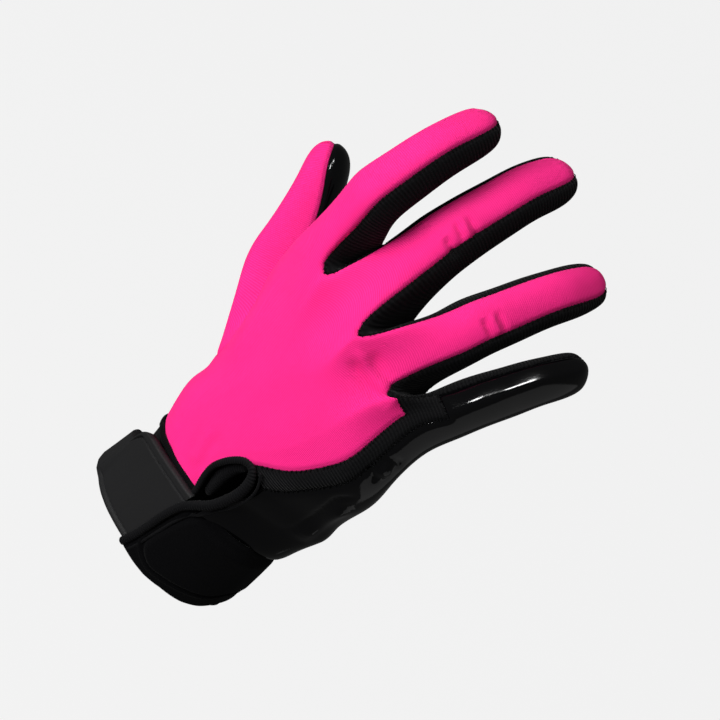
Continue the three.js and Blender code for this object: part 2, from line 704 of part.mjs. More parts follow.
// The elastic that binds the vent: a bead that lies on the cloth round the three closed sides of the slit.
const ventSteps = 22;
const ventEnds = layerGap + strapWall / 2;
const beadSection = [0, 60, 120, 180, 240, 300];
function ventGeometry() {
  const [bottom, top] = ventRows;
  const climb = [...Array(top - bottom + 1).keys()].map((i) => bottom + i);
  const rim = [
    ...climb.map((r) => rows[r][gussetColumn]),
    ...climb.reverse().map((r) => rows[r][gussetColumn + 1]),
  ];
  const lift = layerGap + bindingHeight / 2;
  const path = rim.map((k) => new THREE.Vector3(...add(skin.points[k], times(skinNormals[k], lift))));
  path[0].z += ventEnds;
  path[path.length - 1].z += ventEnds;
  const facing = new THREE.CatmullRomCurve3(rim.map((k) => new THREE.Vector3(...skinNormals[k])));
  const curve = new THREE.CatmullRomCurve3(path, false, 'centripetal');
  const points = [];
  for (let i = 0; i <= ventSteps; i += 1) {
    const share = curve.getUtoTmapping(i / ventSteps);
    const centre = curve.getPoint(share);
    const along = curve.getTangent(share);
    const normal = facing.getPoint(share).projectOnPlane(along).normalize();
    const side = new THREE.Vector3().crossVectors(normal, along);
    for (const angle of beadSection) {
      const a = radians(angle);
      const p = centre.clone().addScaledVector(side, Math.cos(a) * bindingWidth / 2);
      points.push(p.addScaledVector(normal, Math.sin(a) * bindingHeight / 2).toArray());
    }
  }
  const n = beadSection.length;
  const triangles = [];
  for (let i = 0; i < ventSteps; i += 1) {
    for (let k = 0; k < n; k += 1) {
      const [a, b] = [i * n + k, i * n + ((k + 1) % n)];
      triangles.push(a, b, b + n, a, b + n, a + n);
    }
  }
  const last = ventSteps * n;
  for (let k = 1; k + 1 < n; k += 1) triangles.push(0, k + 1, k, last, last + k, last + k + 1);
  return solid(points, triangles);
}
addPart('vent_binding', ventGeometry(), ribbed);

glove.position.set(0, wristSetBack, 0);
export default glove;
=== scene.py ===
# A right-hand football receiver's glove, as worn. Sizes are in millimetres in the frame's axes: +Z to the
# fingers, +X to the little finger, +Y to the palm side. Meshes are in metres.

import itertools
import math

import bpy
import numpy as np
from mathutils import Matrix, Vector, kdtree


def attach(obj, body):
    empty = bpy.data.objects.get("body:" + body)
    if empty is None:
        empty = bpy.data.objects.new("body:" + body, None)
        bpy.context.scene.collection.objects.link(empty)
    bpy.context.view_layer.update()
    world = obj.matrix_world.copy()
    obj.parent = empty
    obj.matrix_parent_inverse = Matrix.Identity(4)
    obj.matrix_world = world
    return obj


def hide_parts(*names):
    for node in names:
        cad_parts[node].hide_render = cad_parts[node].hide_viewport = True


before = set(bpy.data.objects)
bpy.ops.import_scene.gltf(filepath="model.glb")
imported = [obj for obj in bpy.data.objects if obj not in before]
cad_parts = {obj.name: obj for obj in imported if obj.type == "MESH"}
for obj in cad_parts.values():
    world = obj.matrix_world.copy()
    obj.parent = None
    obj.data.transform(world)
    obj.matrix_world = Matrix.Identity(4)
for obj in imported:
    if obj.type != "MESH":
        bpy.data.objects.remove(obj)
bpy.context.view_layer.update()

MM = 0.001

# Sizes of the glove, as in its construction
HAND_BREADTH = 84
HAND_DEPTH = 40
KNUCKLE_HEIGHT = 110
WRIST_BREADTH = 59
WRIST_DEPTH = 37
WRIST_SET_BACK = 4
CUFF_HEIGHT = 34
FINGER_WIDTH = 19
THUMB_LENGTH = 70
CLOTH_WALL = 1.0
PALM_WALL = 1.3
CUFF_WALL = 1.8
SKIN_LEVELS = 4

# Rows across the hand: height as shares of the cuff and of the rise to the knuckles, sizes as shares of the
# hand. pull draws the back's columns towards the thumb where the vent's slit is, lip is the place of the
# slit's other edge, and arch is how far the row rises over the back and the little finger's side.
ROW_NAMES = (
    "cuff", "rise", "centre", "breadth", "back", "palm", "thenar", "hollow", "drop", "wrist", "pull", "lip",
    "arch",
)
HAND_ROWS = [dict(zip(ROW_NAMES, values)) for values in (
    (0.0, 0.0, 0.0, 1.0, 0.5, 0.5, 0.0, 0.0, 0.0, 1, 0.96, 0.3, 0.0),
    (0.5, 0.0, 0.0, 0.97, 0.5, 0.5, 0.0, 0.0, 0.0, 1, 0.96, 0.3, 0.0),
    (1.0, 0.0, 0.0, 0.98, 0.5, 0.5, 0.0, 0.0, 0.0, 1, 0.94, 0.32, 3.2),
    (1.0, 0.2, 0.025, 0.87, 0.54, 0.44, 0.04, 0.0, 0.0, 0, 0.76, 0.37, 1.0),
    (1.0, 0.38, 0.035, 0.85, 0.53, 0.43, 0.1, 0.05, 0.02, 0, 0.83, 0.49, 0.0),
    (1.0, 0.56, 0.04, 0.9, 0.5, 0.43, 0.1, 0.07, 0.05, 0, 0.975, 0.66, 0.0),
    (1.0, 0.77, 0.03, 0.97, 0.46, 0.42, 0.05, 0.05, 0.1, 0, 1.0, 0.79, 0.0),
    (1.0, 1.0, 0.01, 1.0, 0.42, 0.36, 0.0, 0.02, 0.15, 0, 1.0, 0.87, 0.0),
)]

# Columns across a row, three for each finger: shares of half the breadth at the wrist and at the knuckles
COLUMNS = [
    (-0.93, -0.95), (-0.72, -0.66), (-0.52, -0.42),
    (-0.44, -0.34), (-0.3, -0.15), (-0.17, 0.04),
    (-0.1, 0.12), (-0.02, 0.29), (0.06, 0.46),
    (0.11, 0.53), (0.24, 0.76), (0.44, 0.87),
]
PALM_REACH = 0.9
# A row's arch is full from this column of the back, and starts at this column of the palm.
ARCH_FULL = 3
ARCH_START = 7

# Forks between the fingers, as shares of half the breadth, the depth and the finger's length
FORKS = [
    {"back": (-0.52, -0.32, 0.2), "web": (-0.45, 0.05, 0.21), "palm": (-0.42, 0.35, 0.14)},
    {"back": (0.06, -0.29, 0.19), "web": (0.09, 0.08, 0.17), "palm": (0.11, 0.39, 0.11)},
    {"back": (0.54, -0.14, 0.12), "web": (0.56, 0.15, 0.1), "palm": (0.57, 0.44, 0.03)},
]
FORK_WIDTH = 0.17
STRIPS = ["index_middle_strip", "middle_ring_strip", "ring_little_strip"]

FINGER_NAMES = ("length", "width", "knuckle", "bones", "spread", "bends", "seams")
FINGERS = [dict(zip(FINGER_NAMES, values)) for values in (
    (90, 1.06, (-0.66, -0.06, 0.0), (0.48, 0.27, 0.25), -6, (2, 37, 16), (-62, 36)),
    (97, 1.14, (-0.19, -0.1, 0.02), (0.47, 0.29, 0.24), -8, (33, 17, 13), (-66, 46)),
    (92, 1.08, (0.28, -0.08, -0.01), (0.46, 0.29, 0.25), 5, (41, 18, 15), (-42, 52)),
    (74, 0.9, (0.7, 0.0, -0.07), (0.47, 0.25, 0.28), 13, (38, 17, 15), (-45, 24)),
)]

# Rings along a finger and along the thumb: bone, share along it, and half sizes as shares of the width
RING_NAMES = ("bone", "along", "side", "back", "front")
FINGER_RINGS = [dict(zip(RING_NAMES, values)) for values in (
    (0, 0.76, 0.51, 0.5, 0.5),
    (1, 0.0, 0.5, 0.48, 0.44),
    (1, 0.5, 0.47, 0.44, 0.46),
    (2, 0.0, 0.45, 0.41, 0.42),
    (2, 0.45, 0.43, 0.37, 0.42),
    (2, 0.8, 0.35, 0.28, 0.35),
)]
BASE_RING = dict(zip(RING_NAMES, (0, 0.3, 0.56, 0.56, 0.6)))
THUMB_RINGS = [dict(zip(RING_NAMES, values)) for values in (
    (0, 0.85, 0.62, 0.62, 0.62),
    (1, 0.35, 0.55, 0.52, 0.55),
    (1, 0.92, 0.52, 0.46, 0.48),
    (2, 0.4, 0.5, 0.42, 0.46),
    (2, 0.8, 0.4, 0.33, 0.36),
)]
FRONT_ANGLES = [128, 180, 232]
INDEX_SIDE = 250
LITTLE_BASE = (-22, 12)
LITTLE_GUSSET_END = 0.62
THUMB_JOINTS = [(-0.67, 0.3, 0.33), (-1.16, 0.35, 0.8), (-1.49, 0.68, 1.06), (-1.83, 0.95, 1.22)]
THUMB_ANGLES = [-50, 0, 50, 92, 135, 180, 225, 268]
THUMB_TWISTS = (44, 42, 22, 0, 0)
THUMB_ROWS = (4, 6)
SECTION_POWER = 2.3


def unit(v):
    return v / np.linalg.norm(v)


def mix(a, b, t):
    return a + (b - a) * t


def bow(u):
    return (1 - min(abs(u), 1) ** SECTION_POWER) ** (1 / SECTION_POWER)


def bump(u, centre, width):
    return np.exp(-((u - centre) / width) ** 2)


class Cage:
    """Points and four-sided faces, each face with its panel. weave holds where the cloth's threads lie at
    each point: millimetres across and along."""

    def __init__(self):
        self.points = []
        self.weave = []
        self.faces = []
        self.panels = []

    def point(self, p, weave):
        self.points.append(np.array(p, float))
        self.weave.append(weave)
        return len(self.points) - 1

    def face(self, corners, panel):
        self.faces.append(corners)
        self.panels.append(panel)


SIDE = len(COLUMNS)
RING = 2 * SIDE + 2


def hand_row(cage, row):
    half = (WRIST_BREADTH if row["wrist"] else HAND_BREADTH) / 2
    depth = WRIST_DEPTH if row["wrist"] else HAND_DEPTH
    height = row["cuff"] * CUFF_HEIGHT + row["rise"] * (KNUCKLE_HEIGHT - CUFF_HEIGHT)
    centre = row["centre"] * HAND_BREADTH
    middle = -WRIST_SET_BACK if row["wrist"] else 0
    ring = [None] * RING
    dorsal, palmar = [], []

    def drop(u):
        return row["drop"] * KNUCKLE_HEIGHT * max(u, 0) ** 1.5

    for i, (wrist, knuckle) in enumerate(COLUMNS):
        u = mix(wrist, knuckle, row["rise"])
        u = row["pull"] * (u + 1) - 1 if i < SIDE - 1 else row["lip"]
        y = middle - bow(u) * row["back"] * depth
        dorsal.append((centre + u * half * row["breadth"], y, height - drop(u)))
        v = mix(PALM_REACH * (2 * i / (SIDE - 1) - 1), knuckle, row["rise"])
        swell = row["palm"] + row["thenar"] * bump(v, -0.6, 0.45) - row["hollow"] * bump(v, 0.15, 0.4)
        y = middle + bow(v) * swell * depth
        palmar.append((centre + v * half * row["breadth"], y, height - drop(v)))
    for i in range(SIDE):
        x, y, z = dorsal[i]
        ring[i] = cage.point((x, y, z + row["arch"] * min(i / ARCH_FULL, 1)), (x, z))
    edge = (centre + half * row["breadth"], middle, height - drop(1) + row["arch"])
    ring[SIDE] = cage.point(edge, (half, height))
    for i in range(SIDE):
        x, y, z = palmar[i]
        arch = row["arch"] * max(0, (i - ARCH_START) / (SIDE - 1 - ARCH_START))
        ring[RING - 2 - i] = cage.point((x, y, z + arch), (x, z))
    ring[RING - 1] = cage.point((centre - half * row["breadth"], middle, height), (-half, height))
    return ring


def fork_point(f, place, side):
    length = (FINGERS[f]["length"] + FINGERS[f + 1]["length"]) / 2
    return (
        place[0] * HAND_BREADTH / 2 + side * FORK_WIDTH / 2 * FINGER_WIDTH * 1.3,
        place[1] * HAND_DEPTH,
        KNUCKLE_HEIGHT + place[2] * length,
    )


def finger_line(finger):
    turn = math.radians(finger["spread"])
    ahead = np.array([math.sin(turn), 0, math.cos(turn)])
    knuckle = finger["knuckle"]
    joints = [np.array([
        knuckle[0] * HAND_BREADTH / 2, knuckle[1] * HAND_DEPTH, KNUCKLE_HEIGHT * (1 + knuckle[2]),
    ])]
    ways = []
    bend = 0
    for bone, step in zip(finger["bones"], finger["bends"]):
        bend += math.radians(step)
        ways.append(ahead * math.cos(bend) + np.array([0, math.sin(bend), 0]))
        joints.append(joints[-1] + ways[-1] * bone * finger["length"])
    return joints, ways, np.cross([0, 1, 0], ahead)


def ring_points(centre, across, back, ring, width, angles):
    out = []
    for angle in angles:
        a = math.radians(angle)
        depth = ring["back"] if math.cos(a) > 0 else ring["front"]
        out.append(centre + across * math.sin(a) * ring["side"] * width + back * math.cos(a) * depth * width)
    return out


def ring_place(joints, ways, ring):
    bone, along = ring["bone"], ring["along"]
    centre = mix(joints[bone], joints[bone + 1], along)
    other = bone
    if along < 0.25 and bone > 0:
        other = bone - 1
    if along > 0.75 and bone + 1 < len(ways):
        other = bone + 1
    share = 0.5 - along if along < 0.25 else along - 0.5
    return centre, unit(mix(ways[bone], ways[other], share))


def tube(cage, rings, tip, panels, shift):
    for near, far in zip(rings, rings[1:]):
        for k in range(8):
            n = (k + 1) % 8
            cage.face([near[k], near[n], far[n], far[k]], panels[k])
    last = rings[-1]
    for k in range(shift, 8 + shift, 2):
        cage.face([last[k % 8], last[(k + 1) % 8], last[(k + 2) % 8], tip], panels[k % 8])


VENT_ROWS = (2, 4)
GUSSET = SIDE - 2


def hand_panel(row, column):
    if column == GUSSET and row < VENT_ROWS[1]:
        return None
    if row < VENT_ROWS[0]:
        return "cuff_band"
    if column < GUSSET or column == RING - 1:
        return "back_panel"
    return "edge_gusset" if column == GUSSET else "palm_panel"


def build_cage():
    cage = Cage()
    rows = [hand_row(cage, row) for row in HAND_ROWS]
    fork_row = [None] * RING
    webs = []
    for f, fork in enumerate(FORKS):
        left = 3 * f + 2
        for side, column in ((-1, left), (1, left + 1)):
            back = fork_point(f, fork["back"], side)
            palm = fork_point(f, fork["palm"], side)
            fork_row[column] = cage.point(back, (back[0], back[2]))
            fork_row[RING - 2 - column] = cage.point(palm, (palm[0], palm[2]))
        pair = []
        for side in (-1, 1):
            web = fork_point(f, fork["web"], side)
            pair.append(cage.point(web, (side * 6, web[2])))
        webs.append(pair)
    lines = [finger_line(finger) for finger in FINGERS]
    for f, finger in enumerate(FINGERS):
        joints, ways, across = lines[f]
        centre, way = ring_place(joints, ways, BASE_RING)
        angles = [finger["seams"][0], 0, finger["seams"][1], 90, *FRONT_ANGLES, 270]
        if f == 3:
            angles[1:3] = LITTLE_BASE
        points = ring_points(
            centre, across, np.cross(across, way), BASE_RING, FINGER_WIDTH * finger["width"], angles)
        places = [3 * f, 3 * f + 1, 3 * f + 2, SIDE, *(RING - 2 - 3 * f - c for c in (2, 1, 0)), RING - 1]
        along = KNUCKLE_HEIGHT + BASE_RING["along"] * finger["bones"][0] * finger["length"]
        for i, place in enumerate(places):
            outer = (i != 3 or f == 3) and (i != 7 or f == 0)
            if outer and fork_row[place] is None:
                fork_row[place] = cage.point(points[i], (points[i][0], along))
    rows.append(fork_row)
    for r in range(len(rows) - 1):
        for c in range(RING):
            panel = hand_panel(r, c)
            thumb_hole = THUMB_ROWS[0] <= r < THUMB_ROWS[1] and c in (RING - 1, RING - 2)
            if panel is None or thumb_hole:
                continue
            n = (c + 1) % RING
            cage.face([rows[r][c], rows[r][n], rows[r + 1][n], rows[r + 1][c]], panel)
    for f, finger in enumerate(FINGERS):
        joints, ways, across = lines[f]
        width = FINGER_WIDTH * finger["width"]
        angles = [finger["seams"][0], 0, finger["seams"][1], 90, *FRONT_ANGLES, 270]
        base = [fork_row[c] for c in (3 * f, 3 * f + 1, 3 * f + 2)]
        base.append(webs[f][0] if f < 3 else fork_row[SIDE])
        base += [fork_row[RING - 2 - 3 * f - c] for c in (2, 1, 0)]
        base.append(webs[f - 1][1] if f > 0 else fork_row[RING - 1])
        rings = [base]
        if f == 0:
            angles[7] = INDEX_SIDE
        for ring in FINGER_RINGS:
            if f == 3 and ring["bone"] == 0:
                ring = dict(ring, along=LITTLE_GUSSET_END)
            centre, way = ring_place(joints, ways, ring)
            shares = sum(finger["bones"][:ring["bone"]]) + ring["along"] * finger["bones"][ring["bone"]]
            along = KNUCKLE_HEIGHT + shares * finger["length"]
            points = ring_points(centre, across, np.cross(across, way), ring, width, angles)
            row = []
            for k, p in enumerate(points):
                around = math.radians(angles[k] - 360 * (k == 7)) * width / 2
                row.append(cage.point(p, (joints[0][0] + around, along)))
            rings.append(row)
        tip = cage.point(joints[3], (joints[0][0], KNUCKLE_HEIGHT + finger["length"]))
        back = "palm_panel" if f == 3 else "back_panel"
        before = STRIPS[f - 1] if f > 0 else "palm_panel"
        after = STRIPS[f] if f < 3 else "palm_panel"
        side = back if f == 0 else before
        tube(cage, rings, tip, [back, back, after, after, "palm_panel", "palm_panel", before, side], 0)
        if f == 3:
            for k in (0, 1):
                corners = [rings[0][k], rings[0][k + 1], rings[1][k + 1], rings[1][k]]
                cage.panels[cage.faces.index(corners)] = "edge_gusset"
    for f, (near, far) in enumerate(webs):
        left = 3 * f + 2
        right = RING - 2 - left
        cage.face([fork_row[left], fork_row[left + 1], far, near], STRIPS[f])
        cage.face([near, far, fork_row[right - 1], fork_row[right]], STRIPS[f])
    add_thumb(cage, rows)
    return cage


def add_thumb(cage, rows):
    joints = [
        np.array([x * HAND_BREADTH / 2, y * HAND_DEPTH, CUFF_HEIGHT + z * THUMB_LENGTH])
        for x, y, z in THUMB_JOINTS
    ]
    ways = [unit(b - a) for a, b in zip(joints, joints[1:])]
    low, high = THUMB_ROWS
    palm, edge = RING - 2, RING - 1
    base = [
        rows[low][palm], rows[low][edge], rows[low][0], rows[low + 1][0],
        rows[high][0], rows[high][edge], rows[high][palm], rows[low + 1][palm],
    ]
    facing = unit(np.array([-1, -0.25, 0]))
    rings = [base]
    for ring, twist in zip(THUMB_RINGS, THUMB_TWISTS):
        centre, way = ring_place(joints, ways, ring)
        side = unit(np.cross(way, facing))
        along = np.dot(centre - joints[0], ways[1]) + joints[0][2]
        angles = list(THUMB_ANGLES)
        angles[3] += twist
        angles[4] += twist / 2
        row = []
        for k, p in enumerate(ring_points(centre, side, np.cross(side, way), ring, FINGER_WIDTH, angles)):
            row.append(cage.point(p, ((k - 2) * 5 - HAND_BREADTH / 2, along)))
        rings.append(row)
    panels = ["thumb_back"] * 3 + ["thumb_palm"] * 4 + ["thumb_back"]
    tube(cage, rings, cage.point(joints[3], (-HAND_BREADTH / 2, joints[0][2] + THUMB_LENGTH)), panels, 1)
    corners = [rings[0][3], rings[0][4], rings[1][4], rings[1][3]]
    cage.panels[cage.faces.index(corners)] = "thumb_back"


def sides_of(faces):
    return np.stack([faces, np.roll(faces, -1, axis=1)], axis=2).reshape(-1, 2)


class Skin:
    """A mesh of four-sided faces in arrays, with the tables that its smooth subdivision needs"""

    def __init__(self, points, faces, panels, weave):
        self.points = np.asarray(points, float)
        self.faces = np.asarray(faces, int)
        self.panels = np.asarray(panels, int)
        self.weave = np.asarray(weave, float)
        self.link()

    def link(self):
        keys = np.sort(sides_of(self.faces), axis=1)
        self.edges, where = np.unique(keys, axis=0, return_inverse=True)
        self.face_edges = where.reshape(-1, 4)
        self.edge_count = np.bincount(where.ravel(), minlength=len(self.edges))
        self.open_edge = self.edge_count == 1
        n = len(self.points)
        self.open_point = np.zeros(n, bool)
        self.open_point[self.edges[self.open_edge].ravel()] = True
        self.valence = np.bincount(self.edges.ravel(), minlength=n)

    def gather(self, index, values):
        out = np.zeros((len(self.points), values.shape[1]))
        for axis in range(values.shape[1]):
            out[:, axis] = np.bincount(index.ravel(), values[:, axis], minlength=len(self.points))
        return out

    def open_sum(self, values):
        ends = self.edges[self.open_edge]
        both = np.concatenate([ends, ends[:, ::-1]])
        return self.gather(both[:, 0], values[both[:, 1]])

    def subdivided(self):
        n = len(self.points)
        data = np.hstack([self.points, self.weave])
        centres = data[self.faces].mean(axis=1)
        ends = data[self.edges]
        middles = ends.mean(axis=1)
        face_sum = self.gather_faces(centres)
        edge_sum = self.gather(self.edges.T.reshape(-1), np.vstack([middles, middles]))
        valence = np.maximum(self.valence, 1)[:, None]
        moved = (face_sum / valence + 2 * edge_sum / valence + (valence - 3) * data) / valence
        rim = (6 * data + self.open_sum(data)) / 8
        made = np.where(self.open_point[:, None], rim, moved)
        made = np.where(self.valence[:, None] == 0, data, made)
        near = np.zeros_like(middles)
        for k in range(4):
            np.add.at(near, self.face_edges[:, k], centres)
        inner = (ends.sum(axis=1) + near) / 4
        edge_points = np.where(self.open_edge[:, None], middles, inner)
        everything = np.vstack([made, edge_points, centres])
        e0 = n + self.face_edges
        c0 = (n + len(self.edges) + np.arange(len(self.faces)))[:, None]
        quads = []
        for k in range(4):
            before = (k + 3) % 4
            quads.append(np.hstack([self.faces[:, k:k + 1], e0[:, k:k + 1], c0, e0[:, before:before + 1]]))
        faces = np.stack(quads, axis=1).reshape(-1, 4)
        finer = Skin(everything[:, :3], faces, np.repeat(self.panels, 4), everything[:, 3:])
        finer.coarser = self
        return finer

    def gather_faces(self, values):
        return self.gather(self.faces.T.reshape(-1), np.vstack([values] * 4))

    def limit(self):
        p = self.points
        across = np.vstack([p[self.faces[:, (k + 2) % 4]] for k in range(4)])
        opposite = self.gather(self.faces.T.reshape(-1), across)
        nearby = self.gather(
            self.edges.T.reshape(-1), np.vstack([p[self.edges[:, 1]], p[self.edges[:, 0]]]))
        n = np.maximum(self.valence, 1)[:, None]
        smooth = (n * n * p + 4 * nearby + opposite) / (n * (n + 5))
        rim = (4 * p + self.open_sum(p)) / 6
        out = np.where(self.open_point[:, None], rim, smooth)
        return np.where(self.valence[:, None] == 0, p, out)

    def normals(self):
        p = self.points[self.faces]
        face = np.cross(p[:, 2] - p[:, 0], p[:, 3] - p[:, 1])
        total = self.gather_faces(face)
        length = np.linalg.norm(total, axis=1, keepdims=True)
        return total / np.maximum(length, 1e-12)


PANELS = ["back_panel", "thumb_back", "palm_panel", "thumb_palm", "edge_gusset", *STRIPS, "cuff_band"]
FIT_ROUNDS = 2
FIT_PULL = 0.8


def build_skin():
    cage = build_cage()
    skin = Skin(cage.points, cage.faces, [PANELS.index(p) for p in cage.panels], cage.weave)
    goal = skin.points.copy()
    for _ in range(FIT_ROUNDS):
        skin.points = skin.points + FIT_PULL * (goal - skin.limit())
    for _ in range(SKIN_LEVELS):
        skin = skin.subdivided()
    skin.points = skin.limit()
    skin.points[:, 1] += WRIST_SET_BACK
    return skin


skin = build_skin()
skin_normals = skin.normals()


def smooth_step(t):
    t = np.clip(t, 0, 1)
    return t * t * (3 - 2 * t)


def point_tree(places):
    """A search tree on rows that begin with a place"""
    tree = kdtree.KDTree(len(places))
    for k, p in enumerate(places):
        tree.insert(Vector(p[:3]), k)
    tree.balance()
    return tree


SPLINE_FINENESS = 40


def spline(points, step):
    """A smooth line through the rows of points, sampled evenly every step. The first three columns are a
    place."""
    p = np.asarray(points, float)
    chord = np.concatenate([[0], np.cumsum(np.sqrt(np.linalg.norm(np.diff(p[:, :3], axis=0), axis=1)))])
    slopes = np.gradient(p, chord, axis=0)
    fine = np.linspace(0, chord[-1], SPLINE_FINENESS * len(p))
    k = np.clip(np.searchsorted(chord, fine, side="right") - 1, 0, len(p) - 2)
    h = (chord[k + 1] - chord[k])[:, None]
    t = ((fine - chord[k]) / h[:, 0])[:, None]
    curve = (
        (2 * t ** 3 - 3 * t ** 2 + 1) * p[k] + (t ** 3 - 2 * t ** 2 + t) * h * slopes[k]
        + (3 * t ** 2 - 2 * t ** 3) * p[k + 1] + (t ** 3 - t ** 2) * h * slopes[k + 1]
    )
    length = np.concatenate([[0], np.cumsum(np.linalg.norm(np.diff(curve[:, :3], axis=0), axis=1))])
    count = max(int(length[-1] / step), 4)
    at = np.linspace(0, length[-1], count + 1)
    return np.stack([np.interp(at, length, curve[:, axis]) for axis in range(p.shape[1])], axis=1), at


LINE_REACH = 12
FAR = 1000.0


def line_distance(points, line):
    """How far each point is from a line given by a few points, and how far along the line it lies."""
    path, at = spline(line, 1.0)
    tree = point_tree(path)
    low, high = path[:, :3].min(axis=0) - LINE_REACH, path[:, :3].max(axis=0) + LINE_REACH
    near = np.all((points > low) & (points < high), axis=1)
    distance = np.full(len(points), FAR)
    along = np.zeros(len(points))
    for k in np.flatnonzero(near):
        _, which, d = tree.find(Vector(points[k]))
        distance[k] = d
        along[k] = at[which] / at[-1]
    return distance, along


# Folds and creases: a line through places on the skin, its half width and its height
FOLDS = [
    ([(4.5, -10.8, 122.4), (12.5, -7, 119.8), (20, -3.6, 119), (27.5, 0.6, 119.6)], 2.1, 1.3),
    ([(6.7, -10.7, 118.6), (12.5, -8.6, 116.6), (18.7, -6, 115.6), (26, -2.4, 116.2)], 1.9, -1.1),
    ([(9, -6.4, 124), (14.5, -3.9, 121.4), (20, -1.2, 121), (26, 2, 121.6)], 1.9, -1.1),
    ([(-13.9, 21, 160), (-9.9, 20.9, 159.1), (-7, 22.2, 158.2)], 1.0, -1.4),
    ([(-14, 24.6, 162.7), (-9.3, 24.9, 161.7), (-6.2, 27, 160.5)], 1.0, -1.4),
    ([(-11, 16.6, 156.3), (-6.4, 18.4, 154.5), (-4, 20.5, 153)], 1.1, -1.3),
    ([(-16, 22.8, 161.4), (-10.8, 22.8, 160.4), (-6.4, 24.5, 159.3)], 1.1, 0.7),
    ([(15.9, 22.4, 147.8), (20.2, 23.6, 146.4), (23.1, 25.6, 144.7)], 1.1, -1.0),
    ([(15.6, 26.9, 150.8), (19.8, 28.1, 149.5), (23, 29.8, 147.6)], 1.1, -0.9),
    ([(15.9, 24.6, 149.3), (20.0, 25.8, 148), (23, 27.7, 146.2)], 1.1, 0.7),
    ([(-4.5, -17.4, 60), (-2.2, -17.6, 51), (0.4, -17.8, 43)], 2.2, -0.45),
    ([(-8.5, -17.2, 58), (-5.6, -17.6, 50), (-3.4, -17.8, 42)], 2.4, 0.4),
    ([(28.2, -7.5, 45.5), (30.7, -6.1, 49.5), (33.8, -3.3, 55.2), (35, -2.9, 64.5), (36.1, -4.3, 73),
      (37.4, -5.4, 79.5), (40.5, -2, 86)], 1.1, -1.25),
    ([(20.3, -12.6, 42.6), (23, -10.1, 42.8), (25.6, -7.6, 42.9)], 1.3, -0.88),
    ([(36.2, -6.2, 97.6), (38.6, -3.7, 96.2), (40.8, -0.8, 93.7)], 1.0, -1.38),
    ([(37.4, -3.6, 101.5), (39.1, 0.2, 103.6), (40.9, 5, 102.6)], 1.0, -1.25),
    ([(38.6, -2.2, 99.4), (40.4, 1.6, 99)], 2.4, 1.62),
    ([(36.0, -0.5, 50), (37.6, 0.2, 60), (38.6, -0.6, 72), (40.6, 0.4, 80)], 2.6, 1.38),
    ([(-10, 22, 70), (2, 17, 82), (14, 15, 96), (26, 17, 104)], 1.8, -1.38),
    ([(-26, 16, 98), (-10, 18, 104), (8, 17, 110), (24, 18, 108)], 1.7, -1.12),
    ([(-22, 22, 56), (-12, 23, 66), (-6, 21, 80), (-12, 18, 96)], 2.0, -1.25),
]


def find_seams():
    """Each edge where two panels meet: its number, its faces and the names of their panels"""
    beside = {}
    for f, row in enumerate(skin.face_edges):
        for e in row:
            beside.setdefault(int(e), []).append(f)
    found = []
    for e, faces in beside.items():
        names = [PANELS[skin.panels[f]] for f in faces]
        if len(set(names)) == 2:
            found.append((e, faces, names))
    return found


# A seam sinks into the cloth, all but the hem over the cuff. A fold fades out over a share of its length at
# each end.
SEAM_DEPTH = 0.6
SEAM_REACH = 1.0
FOLD_FADE = 0.26
FOLD_LEAST = 0.05
seams = find_seams()
sunk = set()
for e, _, names in seams:
    if set(names) != {"cuff_band", "palm_panel"}:
        sunk.update(skin.edges[e].tolist())
seam_tree = point_tree(skin.points[sorted(sunk)])
seam_distance = np.array([seam_tree.find(Vector(p))[2] for p in skin.points])
relief = -SEAM_DEPTH * bump(seam_distance, 0, SEAM_REACH)
for line, width, height in FOLDS:
    distance, along = line_distance(skin.points, line)
    fade = smooth_step(np.minimum(along, 1 - along) / FOLD_FADE + FOLD_LEAST)
    relief += height * fade * bump(distance, 0, width)

# Slow unevenness of cloth over a hand: two crossing waves, and a shorter lower one
SWELL = 0.16
SHORT_SWELL = 0.08
SWELL_WAYS = np.array([[0.209, 0.095, 0.038], [-0.039, 0.117, 0.156], [0.287, -0.328, 0.205]])
phase = skin.points @ SWELL_WAYS.T
relief += SWELL * np.sin(phase[:, 0]) * np.sin(phase[:, 1] + 1) + SHORT_SWELL * np.sin(phase[:, 2])

# The palm's hem lies over the strap's edge.
HEM_TOP = 52
HEM_LOW = 38
HEM_LIFT = 4.3
HEM_START, HEM_GROWTH = 8, 14
HEM_END, HEM_FADE = 165, 30
around = np.degrees(np.arctan2(skin.points[:, 0], -skin.points[:, 1]))
hem = smooth_step((HEM_TOP - skin.points[:, 2]) / (HEM_TOP - HEM_LOW))
hem *= smooth_step((around - HEM_START) / HEM_GROWTH) * smooth_step((HEM_END - around) / HEM_FADE)
palm_points = np.zeros(len(skin.points), bool)
palm_points[skin.faces[skin.panels == PANELS.index("palm_panel")].ravel()] = True
skin.points[palm_points] += skin_normals[palm_points] * (HEM_LIFT * hem[palm_points])[:, None]


def new_object(name, vertices, faces):
    mesh = bpy.data.meshes.new(name)
    mesh.from_pydata((np.asarray(vertices) * MM).tolist(), [], [list(map(int, f)) for f in faces])
    mesh.update()
    mesh.polygons.foreach_set("use_smooth", [True] * len(mesh.polygons))
    obj = bpy.data.objects.new(name, mesh)
    bpy.context.collection.objects.link(obj)
    return obj


def set_weave(obj, values):
    """The threads' places across and along the cloth, for the material's ribs, in metres"""
    weave = obj.data.attributes.new("weave", "FLOAT_VECTOR", "POINT")
    full = np.zeros((len(values), 3), np.float32)
    full[:, :2] = values
    weave.data.foreach_set("vector", (full * MM).ravel())


def open_sides(faces, size):
    sides = sides_of(faces)
    codes = sides[:, 0] * size + sides[:, 1]
    twins = sides[:, 1] * size + sides[:, 0]
    return sides[~np.isin(codes, twins)]


